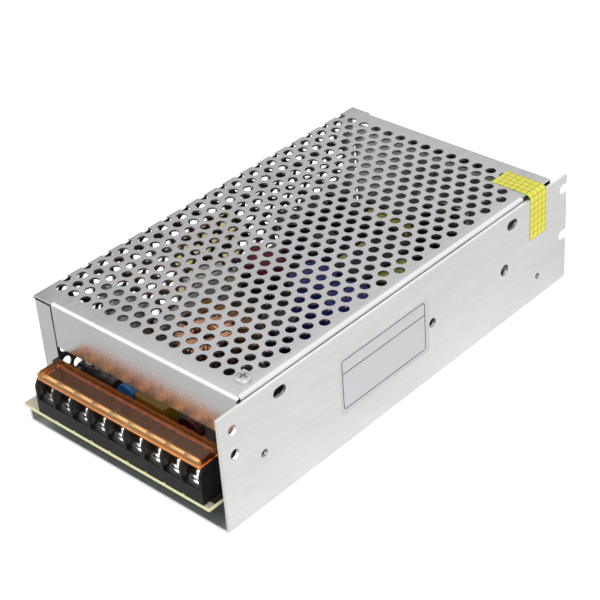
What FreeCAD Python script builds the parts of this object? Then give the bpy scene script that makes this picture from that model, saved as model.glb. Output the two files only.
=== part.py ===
"""Enclosed switching power supply for LED lighting, with a nine-way screw terminal block.

Frame: origin on the underside of the chassis floor, below the middle of the terminal block and half
way along the case, +Z up. The terminal end faces -Y, the labelled side wall faces +X, and lengths
are in millimetres.
"""
import FreeCAD, Part
import math
import os

# Case
case_length = 200.0
case_width = 106.3
case_height = 51.3
block_shift = 0.35
chassis_sheet = 1.2
chassis_bend = 1.8
cover_sheet = 0.8
cover_bend = 1.5
wall_step = 1.7
left_lip_height = 6.0
terminal_bay = 11.3
rear_ear = 8.5
fold_gap = 0.1
sheet_gap = 0.3

# Faces of the case that the rest is placed from
half_length = case_length / 2
wall_outer = case_width / 2 - block_shift
left_outer = -case_width / 2 - block_shift
side_wall_height = case_height - wall_step
wall_inner = wall_outer - chassis_sheet
cover_front = -half_length + terminal_bay
cover_rear = half_length - rear_ear
cover_under = case_height - cover_sheet
cover_right = wall_inner - sheet_gap
cover_left_inner = left_outer + cover_sheet
cover_inner_bend = cover_bend - cover_sheet
chassis_inner_bend = chassis_bend - chassis_sheet
rear_wall_outer = cover_rear - cover_sheet - sheet_gap
rear_wall_inner = rear_wall_outer - chassis_sheet

# Side wall cut-outs: ends are measured from the nearer end of the wall, drops from its top edge
front_hole_radius = 2.05
front_hole_end = 6.4
front_hole_drop = 7.5
front_hole_pitch = 10.3
front_hole_y = -half_length + front_hole_end
front_hole_high = side_wall_height - front_hole_drop
front_hole_low = front_hole_high - front_hole_pitch
slot_length = 6.4
slot_width = 4.1
slot_drop = 5.4
slot_front_end = 29.9
slot_rear_end = 36.8
slot_height = side_wall_height - slot_drop
slot_front_y = -half_length + slot_front_end
slot_rear_y = half_length - slot_rear_end
tapped_hole_radius = 1.6
tapped_hole_end = 20.1
tapped_hole_y = -half_length + tapped_hole_end
tapped_hole_height = 23.4
vent_hole_radius = 2.0
vent_hole_y = 13.0
vent_hole_height = 26.0
access_hole_radius = 2.5
access_hole_end = 41.7
access_hole_y = half_length - access_hole_end
access_hole_height = 25.6
pin_hole_radius = 1.4
pin_hole_end = 19.5
pin_hole_y = half_length - pin_hole_end
pin_hole_height = 11.2
notch_width = 4.2
notch_depth = 4.8
notch_drop = 6.0
notch_pitch = 21.5
notch_high = side_wall_height - notch_drop
notch_low = notch_high - notch_pitch
ear_corner = 2.5
small_hole_sides = 16

# Rear wall of the chassis and its forward lip
rear_wall_step = 5.5
rear_wall_height = cover_under - rear_wall_step
rear_lip_side = 12.8
rear_lip_width = 59.0
rear_lip_depth = 6.8
rear_lip_right = wall_outer - rear_lip_side
rear_lip_left = rear_lip_right - rear_lip_width
rear_wall_side = 3.5
rear_wall_left = left_outer + rear_wall_side
rear_foot = 3.8

# Mounting holes in the floor
floor_hole_radius = 1.65
floor_hole_spacing_x = 50.0
floor_hole_spacing_y = 150.0

# Circuit board
board_thickness = 1.6
board_height = 8.0
board_top = board_height + board_thickness
board_left = cover_left_inner + 0.4
board_right = wall_inner - 5.8
board_front = -half_length - 2.0
board_rear = rear_wall_inner - 5.2
standoff_width = 5.5
standoff_front = 34.0
standoff_rear = 6.0
standoff_side = 6.0
middle_standoff = (0.0, -3.0)
board_screw_shank = 2.9
board_screw_hole = 3.1
board_hole = 3.4
board_screw_head = 5.6
board_screw_head_height = 1.8
board_screw_reach = 5.0

# Terminal block: as many ways as the board has room for
way_pitch = 9.5
fin_thickness = 1.1
block_side_room = 5.0
ways = int((board_right - board_left - 2 * block_side_room) / way_pitch)
block_half = ways * way_pitch / 2 + fin_thickness / 2
block_lead = 0.1
block_front = board_front - block_lead
block_depth = 13.4
block_rear = block_front + block_depth
block_height = 14.9
block_top = board_top + block_height
base_height = 6.3
block_base_top = board_top + base_height
rear_thickness = 2.0
fin_chamfer = 2.8
fin_chamfer_depth = 1.6
hinge_lug = 3.6
foot_notch = 0.8
contact_width = 7.4
contact_thickness = 1.0
contact_setback = 1.5
contact_clearance = 0.2
contact_front = block_front + contact_setback
contact_rear = block_rear - rear_thickness - contact_clearance
pin_reach = 1.4
pin_width = 2.0
pin_slot_gap = 0.1
terminal_screw_setback = 6.6
terminal_screw_y = block_front + terminal_screw_setback
clamp_size = 7.6
clamp_thickness = 1.3
clamp_lift = 0.4
clamp_ridge = 1.0
clamp_slope = 0.6
terminal_shank = 3.4
terminal_head = 6.4
terminal_head_height = 1.9
terminal_bore = 3.6
drive_width = 1.0
drive_depth = 0.8
shank_sides = 6

# Hinged cover over the terminals: a shallow tray turned upside down that rests on the fins
lid_gap = 0.1
lid_side_gap = 0.2
lid_height = 3.1
lid_thickness = 1.0
lid_step = 0.1
lid_setback = 1.1
lid_lip = 1.75
lid_edge = 1.0
lid_round = 0.4
lid_half = block_half - fin_thickness - lid_side_gap
lid_front = block_front + lid_setback
lid_bottom = block_top + lid_gap
lid_top = lid_bottom + lid_height
bar_depth = 2.34
bar_lift = 0.4
hinge_setback = 2.2
hinge_drop = 1.1
hinge_y = block_rear - hinge_setback
hinge_z = lid_top - hinge_drop
hinge_pin = 0.7
hinge_pin_length = 1.2
hinge_play = 0.08
hinge_sides = 12

# Cover: its front flange stops above the hinged cover
wall_foot_gap = 0.8
flange_clearance = 4.1
flange_foot = lid_top + flange_clearance
hem_height = 5.5
hem_corner = 0.5
flange_side = 10.1
flange_left = left_outer + flange_side
flange_right = cover_right - 0.4
strip_gap = 0.8
strip_foot = 10.2
strip_top_gap = 0.7
right_fold_drop = 3.3
right_fold_stop = 19.0
right_fold_end = cover_rear - right_fold_stop
rear_fold_drop = 8.0
rear_fold_side = 11.0
rear_fold_left = left_outer + rear_fold_side

# Perforation: staggered round holes, cut with this many sides to keep the sheet light
hole_diameter = 4.25
hole_sides = 4
column_pitch = 5.197
row_pitch = 6.655
column_margin = 9.605
column_rear_margin = 9.0
row_margin = 6.19
perforation_foot = 8.0

# Cover screw and the tab that takes it
screw_x = wall_inner - 6.5
screw_y = cover_front + 9.6
screw_shank = 2.9
screw_hole = 3.1
screw_clearance = 3.4
screw_head = 6.2
screw_head_height = 1.5
screw_length = 6.0
tab_width = 10.0
tab_reach = 9.8
tab_drop = 12.0
joggle_room = 2.5

# Stickers
label_front = -40.0
label_rear = 11.0
label_bottom = 14.5
label_top = 39.0
label_corner = 1.2
film = 0.15
tape_rear = cover_rear - 5.9
tape_front = tape_rear - 10.6
tape_inner = flange_right - 16.9
tape_bottom = side_wall_height - 18.8
side_sticker_front = -20.0
side_sticker_rear = 18.5
side_sticker_bottom = 12.0
side_sticker_top = 38.5

X_AXIS = FreeCAD.Vector(1, 0, 0)
Y_AXIS = FreeCAD.Vector(0, 1, 0)
Z_AXIS = FreeCAD.Vector(0, 0, 1)


def box(x0, x1, y0, y1, z0, z1):
    """Solid box between two corners."""
    return Part.makeBox(x1 - x0, y1 - y0, z1 - z0, FreeCAD.Vector(x0, y0, z0))


def place(axis, a, b, along):
    """Point from its two coordinates across an axis and the one along it."""
    if axis == "x":
        return FreeCAD.Vector(along, a, b)
    if axis == "y":
        return FreeCAD.Vector(a, along, b)
    return FreeCAD.Vector(a, b, along)


def direction(axis):
    return {"x": X_AXIS, "y": Y_AXIS, "z": Z_AXIS}[axis]


def outline(axis, corners, along):
    """Closed wire through corners (a, b, radius) in the plane across the axis, each corner rounded."""
    points = [place(axis, a, b, along) for a, b, _ in corners]
    edges = []
    first = None
    last = None
    for index, (_, _, radius) in enumerate(corners):
        here = points[index]
        if radius == 0:
            entry = here
            leave = here
        else:
            back = (points[index - 1] - here).normalize()
            ahead = (points[(index + 1) % len(points)] - here).normalize()
            half = back.getAngle(ahead) / 2
            reach = radius / math.tan(half)
            entry = here + back * reach
            leave = here + ahead * reach
            inward = (back + ahead).normalize()
            middle = here + inward * (radius / math.sin(half) - radius)
        if last is not None and last.distanceToPoint(entry) > 1e-6:
            edges.append(Part.makeLine(last, entry))
        if radius != 0:
            edges.append(Part.Arc(entry, middle, leave).toShape())
        first = entry if first is None else first
        last = leave
    if last.distanceToPoint(first) > 1e-6:
        edges.append(Part.makeLine(last, first))
    return Part.Wire(edges)


def plain(*points):
    """Corners without rounding."""
    return [(a, b, 0) for a, b in points]


def prism(axis, corners, start, end):
    """Solid of a rounded outline drawn out along an axis."""
    face = Part.Face(outline(axis, corners, start))
    return face.extrude(direction(axis) * (end - start))


def ring_of_points(a, b, radius, sides, turn=0.0):
    """Corners of a regular outline about (a, b)."""
    step = 2 * math.pi / sides
    angles = [turn + step * side for side in range(sides)]
    return [(a + radius * math.cos(t), b + radius * math.sin(t), 0) for t in angles]


def drum(axis, a, b, radius, start, end, sides):
    """Many-sided drum, for small bores and the round pieces inside."""
    return prism(axis, ring_of_points(a, b, radius, sides, math.pi / sides), start, end)


def rod(axis, a, b, radius, start, end):
    """True cylinder along an axis."""
    return Part.makeCylinder(radius, end - start, place(axis, a, b, start), direction(axis))


def bevelled(axis, a0, a1, b0, b1, cut, start, end):
    """Plate whose four corners are cut off."""
    corners = plain((a0 + cut, b0), (a1 - cut, b0), (a1, b0 + cut), (a1, b1 - cut),
                    (a1 - cut, b1), (a0 + cut, b1), (a0, b1 - cut), (a0, b0 + cut))
    return prism(axis, corners, start, end)


def join(shapes):
    """One solid out of shapes that meet."""
    return shapes[0].fuse(shapes[1:]).removeSplitter()


def holes_in(shape, tools):
    return shape.cut(Part.makeCompound(tools))


def group(shapes):
    return Part.makeCompound(shapes)


def slot(axis, a, b, length, width, start, end):
    """Obround tool whose long side lies along the first coordinate."""
    half = length / 2
    rise = width / 2
    corners = [(a - half, b - rise), (a + half, b - rise), (a + half, b + rise), (a - half, b + rise)]
    return prism(axis, [(u, v, rise * 0.9999) for u, v in corners], start, end)


def make_chassis():
    """Folded tray: floor, full side wall, low left lip and rear wall with a lip; the tab for the cover
    screw is welded inside the side wall and set in from it, so that the cover's fold goes between."""
    left = cover_left_inner + fold_gap
    floor_bend = left + chassis_sheet
    fold_start = rear_wall_inner - rear_foot
    body = prism("y", [
        (left, left_lip_height, 0), (left, 0, chassis_bend), (wall_outer, 0, chassis_bend),
        (wall_outer, side_wall_height, 0), (wall_inner, side_wall_height, 0),
        (wall_inner, chassis_sheet, chassis_inner_bend), (floor_bend, chassis_sheet, chassis_inner_bend),
        (floor_bend, left_lip_height, 0)], -half_length, fold_start)
    foot = wall_inner - rear_foot + chassis_sheet
    ear = prism("y", [
        (foot, 0, 0), (wall_outer, 0, chassis_bend), (wall_outer, side_wall_height, 0),
        (wall_inner, side_wall_height, 0), (wall_inner, chassis_sheet, chassis_inner_bend),
        (foot, chassis_sheet, 0)], fold_start, half_length)
    rear = prism("x", [
        (fold_start, 0, 0), (rear_wall_outer, 0, chassis_bend), (rear_wall_outer, rear_wall_height, 0),
        (rear_wall_inner, rear_wall_height, 0), (rear_wall_inner, chassis_sheet, chassis_inner_bend),
        (fold_start, chassis_sheet, 0)], rear_wall_left, foot)
    lip_root = rear_wall_height - 2 * chassis_bend
    lip_front = rear_wall_outer - rear_lip_depth
    lip = prism("x", [
        (rear_wall_outer, lip_root, 0), (rear_wall_outer, rear_wall_height, chassis_bend),
        (lip_front, rear_wall_height, 0), (lip_front, rear_wall_height - chassis_sheet, 0),
        (rear_wall_inner, rear_wall_height - chassis_sheet, chassis_inner_bend),
        (rear_wall_inner, lip_root, 0)], rear_lip_left, rear_lip_right)
    lip_space = box(rear_lip_left, rear_lip_right, rear_wall_inner - 1, rear_wall_outer + 1,
                    lip_root, rear_wall_height + 1)
    tab_face = cover_right - cover_sheet - sheet_gap
    tab_foot = side_wall_height - tab_drop
    joggle_low = case_height - right_fold_drop - joggle_room
    joggle_high = joggle_low + wall_inner - tab_face
    tab = prism("y", [
        (wall_inner, tab_foot, 0), (wall_inner, joggle_low, 0), (tab_face, joggle_high, 0),
        (tab_face, cover_under, chassis_bend), (tab_face - tab_reach, cover_under, 0),
        (tab_face - tab_reach, cover_under - chassis_sheet, 0),
        (tab_face - chassis_sheet, cover_under - chassis_sheet, chassis_inner_bend),
        (tab_face - chassis_sheet, joggle_high, 0), (wall_inner - chassis_sheet, joggle_low, 0),
        (wall_inner - chassis_sheet, tab_foot, 0)], screw_y - tab_width / 2, screw_y + tab_width / 2)
    sheet = join([body, ear, rear.cut(lip_space), lip, tab])
    through = (wall_inner - 1, wall_outer + 1)
    tools = [
        rod("x", front_hole_y, front_hole_low, front_hole_radius, *through),
        rod("x", front_hole_y, front_hole_high, front_hole_radius, *through),
        slot("x", slot_front_y, slot_height, slot_length, slot_width, *through),
        slot("x", slot_rear_y, slot_height, slot_length, slot_width, *through),
        drum("x", tapped_hole_y, tapped_hole_height, tapped_hole_radius, *through, small_hole_sides),
        drum("x", vent_hole_y, vent_hole_height, vent_hole_radius, *through, small_hole_sides),
        drum("x", access_hole_y, access_hole_height, access_hole_radius, *through, small_hole_sides),
        drum("x", pin_hole_y, pin_hole_height, pin_hole_radius, *through, small_hole_sides),
        drum("z", screw_x, screw_y, screw_hole / 2, cover_under - chassis_sheet - 1, cover_under + 1,
             shank_sides)]
    for height in (notch_low, notch_high):
        rise = notch_width / 2
        inner = half_length - notch_depth
        end = half_length + 1
        tools.append(prism("x", [
            (end, height - rise, 0), (end, height + rise, 0),
            (inner, height + rise, rise * 0.9999), (inner, height - rise, rise * 0.9999)], *through))
    corner = box(foot - 1, wall_outer + 1, half_length - ear_corner, half_length + 1, -1, ear_corner)
    round_part = rod("x", half_length - ear_corner, ear_corner, ear_corner, foot - 1, wall_outer + 1)
    tools.append(corner.cut(round_part))
    for side_x in (-1, 1):
        for side_y in (-1, 1):
            tools.append(rod("z", side_x * floor_hole_spacing_x / 2, side_y * floor_hole_spacing_y / 2,
                             floor_hole_radius, -1, chassis_sheet + 1))
    return holes_in(sheet, tools)


# Places on the unfolded cover, whose neutral layer sets the length of the left fold
fold_left = left_outer + cover_bend
fold_under = case_height - cover_bend
fold_length = math.pi / 2 * (cover_bend - cover_sheet / 2)


def hole_places():
    """Staggered lattice over the whole unfolded sheet, as (across, along), that stays inside its edges."""
    first_across = cover_right - row_margin
    last_across = fold_left - fold_length - (fold_under - perforation_foot)
    first_along = cover_front + column_margin
    columns = 1 + int((cover_rear - column_rear_margin - first_along) / column_pitch)
    half_rows = 1 + int((first_across - last_across) / (row_pitch / 2))
    places = []
    for column in range(columns):
        along = first_along + column_pitch * column
        for half_row in range(column % 2, half_rows, 2):
            across = first_across - row_pitch / 2 * half_row
            if math.hypot(across - screw_x, along - screw_y) > hole_diameter:
                places.append((across, along))
    return places


def diamond(axis, a, b, along):
    """Outline of one perforation, as wide across its corners as keeps the area of the round hole."""
    wedge = 2 * math.pi / hole_sides
    corner_radius = hole_diameter / 2 * math.sqrt(wedge / math.sin(wedge))
    return outline(axis, ring_of_points(a, b, corner_radius, hole_sides), along)


def perforated(axis, border, places, start, end):
    """Plate with a border and one hole at each place."""
    wires = [outline(axis, border, start)]
    wires += [diamond(axis, a, b, start) for a, b in places]
    return Part.Face(wires).extrude(direction(axis) * (end - start))


def make_cover():
    """Perforated cover, folded from one sheet: top, left wall, front flange and the small folds."""
    bend_right = cover_right - cover_bend
    bend_front = cover_front + cover_bend
    bend_rear = cover_rear - cover_bend
    reach = hole_diameter * 0.65
    top_places = []
    edge_places = []
    wall_places = []
    fold_places = []
    for across, along in hole_places():
        height = fold_under + across - (fold_left - fold_length)
        if across - reach > fold_left:
            top_places.append((across, along))
        elif across > fold_left - fold_length / 2:
            edge_places.append((across, along))
        elif height + reach < fold_under:
            wall_places.append((along, height))
        else:
            fold_places.append((along, height))
    border = plain(
        (fold_left, cover_rear), (fold_left, cover_front), (flange_left, cover_front),
        (flange_left, bend_front), (bend_right, bend_front), (bend_right, right_fold_end),
        (flange_right, right_fold_end), (flange_right, bend_rear),
        (rear_fold_left, bend_rear), (rear_fold_left, cover_rear))
    top = perforated("z", border, top_places, cover_under, case_height)
    side = plain((bend_front, wall_foot_gap), (cover_rear, wall_foot_gap), (cover_rear, fold_under),
                 (bend_front, fold_under))
    wall = perforated("x", side, wall_places, left_outer, cover_left_inner)
    left_fold = prism("y", [
        (left_outer, fold_under, 0), (left_outer, case_height, cover_bend * 0.9999),
        (fold_left, case_height, 0), (fold_left, cover_under, 0),
        (cover_left_inner, cover_under, cover_inner_bend * 0.9999), (cover_left_inner, fold_under, 0)],
        cover_front, cover_rear)
    inner_face = cover_front + cover_sheet
    front = prism("x", [
        (bend_front, case_height, 0), (cover_front, case_height, cover_bend * 0.9999),
        (cover_front, flange_foot, hem_corner), (inner_face + cover_sheet, flange_foot, hem_corner),
        (inner_face + cover_sheet, flange_foot + hem_height, 0), (inner_face, flange_foot + hem_height, 0),
        (inner_face, cover_under, cover_inner_bend * 0.9999), (bend_front, cover_under, 0)],
        flange_left, flange_right)
    rear_foot_height = case_height - rear_fold_drop
    rear = prism("x", [
        (bend_rear, case_height, 0), (cover_rear, case_height, cover_bend * 0.9999),
        (cover_rear, rear_foot_height, 0), (cover_rear - cover_sheet, rear_foot_height, 0),
        (cover_rear - cover_sheet, cover_under, cover_inner_bend * 0.9999), (bend_rear, cover_under, 0)],
        rear_fold_left, flange_right)
    right_foot_height = case_height - right_fold_drop
    right_fold = prism("y", [
        (bend_right, case_height, 0), (cover_right, case_height, cover_bend * 0.9999),
        (cover_right, right_foot_height, 0), (cover_right - cover_sheet, right_foot_height, 0),
        (cover_right - cover_sheet, cover_under, cover_inner_bend * 0.9999), (bend_right, cover_under, 0)],
        bend_front, right_fold_end)
    strip_top = cover_under - strip_top_gap
    corner = prism("z", [
        (left_outer, bend_front, 0), (left_outer, cover_front, cover_bend * 0.9999),
        (fold_left, cover_front, 0), (fold_left, inner_face, 0),
        (cover_left_inner, inner_face, cover_inner_bend * 0.9999), (cover_left_inner, bend_front, 0)],
        strip_foot, strip_top)
    strip = box(fold_left, flange_left - strip_gap, cover_front, inner_face, strip_foot, strip_top)
    sheet = join([top, wall, left_fold, front, rear, right_fold, corner, strip])
    tools = [drum("z", screw_x, screw_y, screw_clearance / 2, cover_under - 1, case_height + 1, hinge_sides)]
    for x, y in edge_places:
        tools.append(Part.Face(diamond("z", x, y, fold_under)).extrude(Z_AXIS * 2 * cover_bend))
    for y, height in fold_places:
        tools.append(Part.Face(diamond("x", y, height, left_outer - 1)).extrude(X_AXIS * (1 + cover_bend)))
    return holes_in(sheet, tools)


def pan_screw(x, y, seat, shank, head, head_height, reach, sides, recessed=True):
    """Pan-head screw, its head sitting on the seat, with a cross recess where it can be seen."""
    top = seat + head_height
    body = join([drum("z", x, y, head / 2, seat, top, sides),
                 drum("z", x, y, shank / 2, seat - reach, seat, shank_sides)])
    if not recessed:
        return body
    arm = head * 0.32
    half = drive_width / 2
    floor = top - drive_depth
    cross = box(x - arm, x + arm, y - half, y + half, floor, top + 1).fuse(
        box(x - half, x + half, y - arm, y + arm, floor, top + 1))
    return body.cut(cross)


def make_cover_screw():
    return pan_screw(screw_x, screw_y, case_height, screw_shank, screw_head, screw_head_height,
                     screw_length - screw_head_height, hinge_sides)


def standoff_places():
    corners = [(x, y) for y in (board_front + standoff_front, board_rear - standoff_rear)
               for x in (board_right - standoff_side, board_left + standoff_side)]
    return corners + [middle_standoff]


def way_centres():
    return [way_pitch * (way - (ways - 1) / 2) for way in range(ways)]


def fin_centres():
    return [way_pitch * (fin - ways / 2) for fin in range(ways + 1)]


def contact_leg(x, margin, low, high):
    """Pin that goes down from the back of a contact, or the slot for it."""
    half = pin_width / 2 + margin
    front = contact_rear - contact_thickness - margin
    return box(x - half, x + half, front, contact_rear + margin, low, high)


def make_board():
    """Circuit board with its screw holes and the slots for the terminal pins."""
    board = box(board_left, board_right, board_front, board_rear, board_height, board_top)
    tools = [drum("z", x, y, board_hole / 2, board_height - 1, board_top + 1, shank_sides)
             for x, y in standoff_places()]
    for x in way_centres():
        tools.append(contact_leg(x, pin_slot_gap, board_height - 1, board_top + 1))
    return holes_in(board, tools)


def make_standoffs():
    """Hexagonal pillars pressed into the floor."""
    pillars = []
    for x, y in standoff_places():
        pillar = drum("z", x, y, standoff_width / math.sqrt(3), chassis_sheet, board_height, 6)
        bore = drum("z", x, y, board_screw_hole / 2, board_height - board_screw_reach, board_height + 1,
                    shank_sides)
        pillars.append(pillar.cut(bore))
    return group(pillars)


def make_board_screws():
    return group([pan_screw(x, y, board_top, board_screw_shank, board_screw_head, board_screw_head_height,
                            board_screw_reach, 8, recessed=False) for x, y in standoff_places()])


def make_block():
    """Moulded barrier block: base, back wall, fins with a cut front corner, and two hinge lugs."""
    back_face = block_rear - rear_thickness
    body = prism("x", plain(
        (block_front, board_top), (block_rear, board_top), (block_rear, block_top),
        (block_front + fin_chamfer_depth, block_top), (block_front, block_top - fin_chamfer)),
        -block_half, block_half)
    cell = (way_pitch - fin_thickness) / 2
    tools = []
    for x in way_centres():
        tools.append(box(x - cell, x + cell, block_front - 1, back_face, block_base_top, block_top + 1))
        tools.append(drum("z", x, terminal_screw_y, terminal_bore / 2, board_top + 1, block_base_top + 1,
                          shank_sides))
        tools.append(contact_leg(x, pin_slot_gap, board_top - 1, block_base_top + 1))
    for x in fin_centres()[1:-1]:
        tools.append(box(x - foot_notch, x + foot_notch, block_front - 1, block_front + foot_notch,
                         board_top - 1, board_top + foot_notch))
    block = holes_in(body, tools)
    lugs = []
    for side in (-1, 1):
        outer = side * block_half
        inner = side * (block_half - fin_thickness)
        lug = box(min(inner, outer), max(inner, outer), block_rear - hinge_lug, block_rear, block_top,
                  lid_top)
        bore = drum("x", hinge_y, hinge_z, hinge_pin + hinge_play, -block_half - 1, block_half + 1,
                    hinge_sides)
        lugs.append(lug.cut(bore))
    return join([block] + lugs)


def make_contacts():
    contacts = []
    half = contact_width / 2
    for x in way_centres():
        plate = box(x - half, x + half, contact_front, contact_rear, block_base_top,
                    block_base_top + contact_thickness)
        leg = contact_leg(x, 0, board_height - pin_reach, block_base_top)
        bore = drum("z", x, terminal_screw_y, terminal_bore / 2, block_base_top - 1,
                    block_base_top + contact_thickness + 1, shank_sides)
        contacts.append(join([plate, leg]).cut(bore))
    return group(contacts)


def clamp_seat():
    return block_base_top + contact_thickness + clamp_lift


def make_clamps():
    """Square wire clamps under the screw heads, with two ridges that bite on the wire."""
    clamps = []
    half = clamp_size / 2
    low = clamp_seat()
    high = low + clamp_thickness
    foot = low - clamp_lift
    inner = half - clamp_ridge
    slope = inner - clamp_slope
    for x in way_centres():
        body = prism("y", plain(
            (x - half, foot), (x - inner, foot), (x - slope, low), (x + slope, low), (x + inner, foot),
            (x + half, foot), (x + half, high), (x - half, high)),
            terminal_screw_y - half, terminal_screw_y + half)
        bore = drum("z", x, terminal_screw_y, terminal_bore / 2, foot - 1, high + 1, shank_sides)
        clamps.append(body.cut(bore))
    return group(clamps)


def make_terminal_screws():
    seat = clamp_seat() + clamp_thickness
    reach = seat - board_top - 2
    return group([pan_screw(x, terminal_screw_y, seat, terminal_shank, terminal_head, terminal_head_height,
                            reach, 12) for x in way_centres()])


def make_lid():
    """Hinged tray: thin panel, front lip, a skirt at each end and the hinge bar with its two pins."""
    lip_rear = lid_front + lid_lip
    bar_front = hinge_y - bar_depth / 2
    bar_rear = hinge_y + bar_depth / 2
    panel_top = lid_top - lid_step
    panel = box(-lid_half, lid_half, lip_rear, bar_front, panel_top - lid_thickness, panel_top)
    lip = prism("x", [
        (lid_front, lid_bottom, 0), (lip_rear, lid_bottom, 0), (lip_rear, lid_top, 0),
        (lid_front, lid_top, lid_round)], -lid_half, lid_half)
    skirts = [box(x, x + lid_edge, lip_rear, bar_front, lid_bottom, lid_top)
              for x in (-lid_half, lid_half - lid_edge)]
    bar = prism("x", [
        (bar_front, lid_bottom + bar_lift, 0), (bar_rear, lid_bottom + bar_lift, lid_round),
        (bar_rear, lid_top, lid_round), (bar_front, lid_top, 0)], -lid_half, lid_half)
    pins = [drum("x", hinge_y, hinge_z, hinge_pin, start, start + hinge_pin_length, hinge_sides)
            for start in (-lid_half - hinge_pin_length, lid_half)]
    return join([panel, lip, bar] + skirts + pins)


# Round cans, dipped discs and moulded boxes on the board; what stands tall keeps clear of the cover
can_sides = 14
disc_sides = 16
lead_spacing = 5.0
lead_width = 0.6
bulk_top = cover_under - 6.5
start_top = cover_under - 10.5
output_top = board_top + 20.4
bulk_can = (9.0, bulk_top)
start_can = (6.5, start_top)
output_can = (6.2, output_top)
filter_can = (5.2, board_top + 22.4)
cans = {
    "start_capacitor": (board_right - 27.5, -33.5, start_can),
    "bulk_capacitor_right": (board_right - 13.6, -11.2, bulk_can),
    "bulk_capacitor_left": (board_right - 32.2, -9.0, bulk_can),
    "output_capacitor_1": (-14.0, 27.5, filter_can),
    "output_capacitor_2": (board_left + 14.3, board_rear - 50.0, output_can),
    "output_capacitor_3": (board_left + 14.3, board_rear - 35.5, output_can),
    "output_capacitor_4": (board_left + 14.3, board_rear - 21.0, output_can),
}


def can(x, y, form):
    """Upright electrolytic capacitor on the board."""
    radius, top = form
    return drum("z", x, y, radius, board_top, top, can_sides)


def disc(x, y, radius, thickness, top):
    """Dipped disc standing on two leads."""
    centre = top - radius
    body = drum("y", x, centre, radius, y - thickness / 2, y + thickness / 2, disc_sides)
    half = lead_width / 2
    leads = [box(x + side - half, x + side + half, y - half, y + half, board_top, centre)
             for side in (-lead_spacing / 2, lead_spacing / 2)]
    return join([body] + leads)


def moulded(x0, width, y0, depth, height, cut=1.0):
    """Moulded box on the board with its upright edges cut off."""
    return bevelled("z", x0, x0 + width, y0, y0 + depth, cut, board_top, board_top + height)


def make_suppressor():
    return disc(board_left + 37.7, block_rear + 7.1, 4.6, 3.6, board_top + 13.8)


def make_mains_capacitor():
    return moulded(board_left + 43.3, 16.0, block_rear + 4.7, 8.0, 13.0)


def make_varistor():
    return disc(board_right - 28.3, block_rear + 7.7, 5.2, 3.8, board_top + 13.4)


def make_film_capacitor():
    return moulded(-32.5, 26.0, -26.6, 6.2, 12.4, 0.8)


def make_cement_resistor():
    return moulded(board_left + 6.7, 8.6, -22.4, 16.8, 16.4, 0.5)


def make_driver_transformer():
    return moulded(board_left + 11.6, 16.5, 4.0, 12.0, 14.4)


# Fuse on its clips, behind the terminal block
fuse_x = board_left + 21.3
fuse_y = block_rear + 7.1
fuse_height = board_top + 9.8
fuse_radius = 2.6
fuse_step = 0.3
fuse_length = 20.0
fuse_cap = 5.0
fuse_sides = 12
clip_width = 4.0
clip_sheet = 0.5


def make_fuse():
    """Glass tube between two metal caps."""
    left = fuse_x - fuse_length / 2
    right = fuse_x + fuse_length / 2
    glass = drum("x", fuse_y, fuse_height, fuse_radius - fuse_step, left + fuse_cap, right - fuse_cap,
                 fuse_sides)
    caps = [drum("x", fuse_y, fuse_height, fuse_radius, start, start + fuse_cap, fuse_sides)
            for start in (left, right - fuse_cap)]
    return join([glass] + caps)


def make_fuse_clips():
    clips = []
    low = fuse_height - fuse_radius
    high = fuse_height + 1
    half = fuse_radius + clip_sheet
    for side in (-1, 1):
        centre = fuse_x + side * (fuse_length / 2 - fuse_cap / 2)
        cradle = prism("x", plain(
            (fuse_y - half, high), (fuse_y - half, low - clip_sheet), (fuse_y + half, low - clip_sheet),
            (fuse_y + half, high), (fuse_y + fuse_radius, high), (fuse_y + fuse_radius, low),
            (fuse_y - fuse_radius, low), (fuse_y - fuse_radius, high)),
            centre - clip_width / 2, centre + clip_width / 2)
        leg = box(centre - 1, centre + 1, fuse_y - clip_sheet / 2, fuse_y + clip_sheet / 2, board_top,
                  low - clip_sheet)
        clips.append(join([cradle, leg]))
    return group(clips)


# Toroidal choke lying on the board
choke_x = -16.3
choke_y = -40.3
choke_radius = 12.6
choke_bore = 4.2
choke_top = board_top + 13.7
wire_thickness = 1.4
choke_sides = 16
winding_gap = 3.3


def make_choke_core():
    core = drum("z", choke_x, choke_y, choke_radius - wire_thickness, board_top + wire_thickness,
                choke_top - wire_thickness, choke_sides)
    bore = drum("z", choke_x, choke_y, choke_bore + wire_thickness, board_top, choke_top, choke_sides)
    return core.cut(bore)


def make_choke_winding():
    """Two half windings round the core, drawn as closed sleeves, with a gap where they start and end."""
    outer = drum("z", choke_x, choke_y, choke_radius, board_top, choke_top, choke_sides)
    inner = drum("z", choke_x, choke_y, choke_bore, board_top - 1, choke_top + 1, choke_sides)
    sleeve = outer.cut(inner).cut(make_choke_core())
    split = box(choke_x - choke_radius - 1, choke_x + choke_radius + 1, choke_y - winding_gap / 2,
                choke_y + winding_gap / 2, board_top - 1, choke_top + 1)
    return sleeve.cut(split)


# Main transformer
transformer_right = board_right - 11.8
transformer_left = transformer_right - 29.0
transformer_front = 3.0
transformer_rear = 36.0
transformer_top = cover_under - 10.5
core_end = 7.0
core_leg = 7.0
bobbin_plate = 1.2
bobbin_foot = 3.0
winding_inset = 0.6
winding_corner = 2.0
core_low = board_top + bobbin_foot
core_middle = (core_low + transformer_top) / 2
core_window = (transformer_top - core_low) / 2 - core_leg


def make_transformer_core():
    """Two ferrite halves that close round the winding."""
    left = transformer_left + core_leg
    right = transformer_right - core_leg
    solid = box(left, right, transformer_front, transformer_rear, core_low, transformer_top)
    space = box(left - 1, right + 1, transformer_front + core_end, transformer_rear - core_end,
                core_middle - core_window, core_middle + core_window)
    return solid.cut(space)


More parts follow.
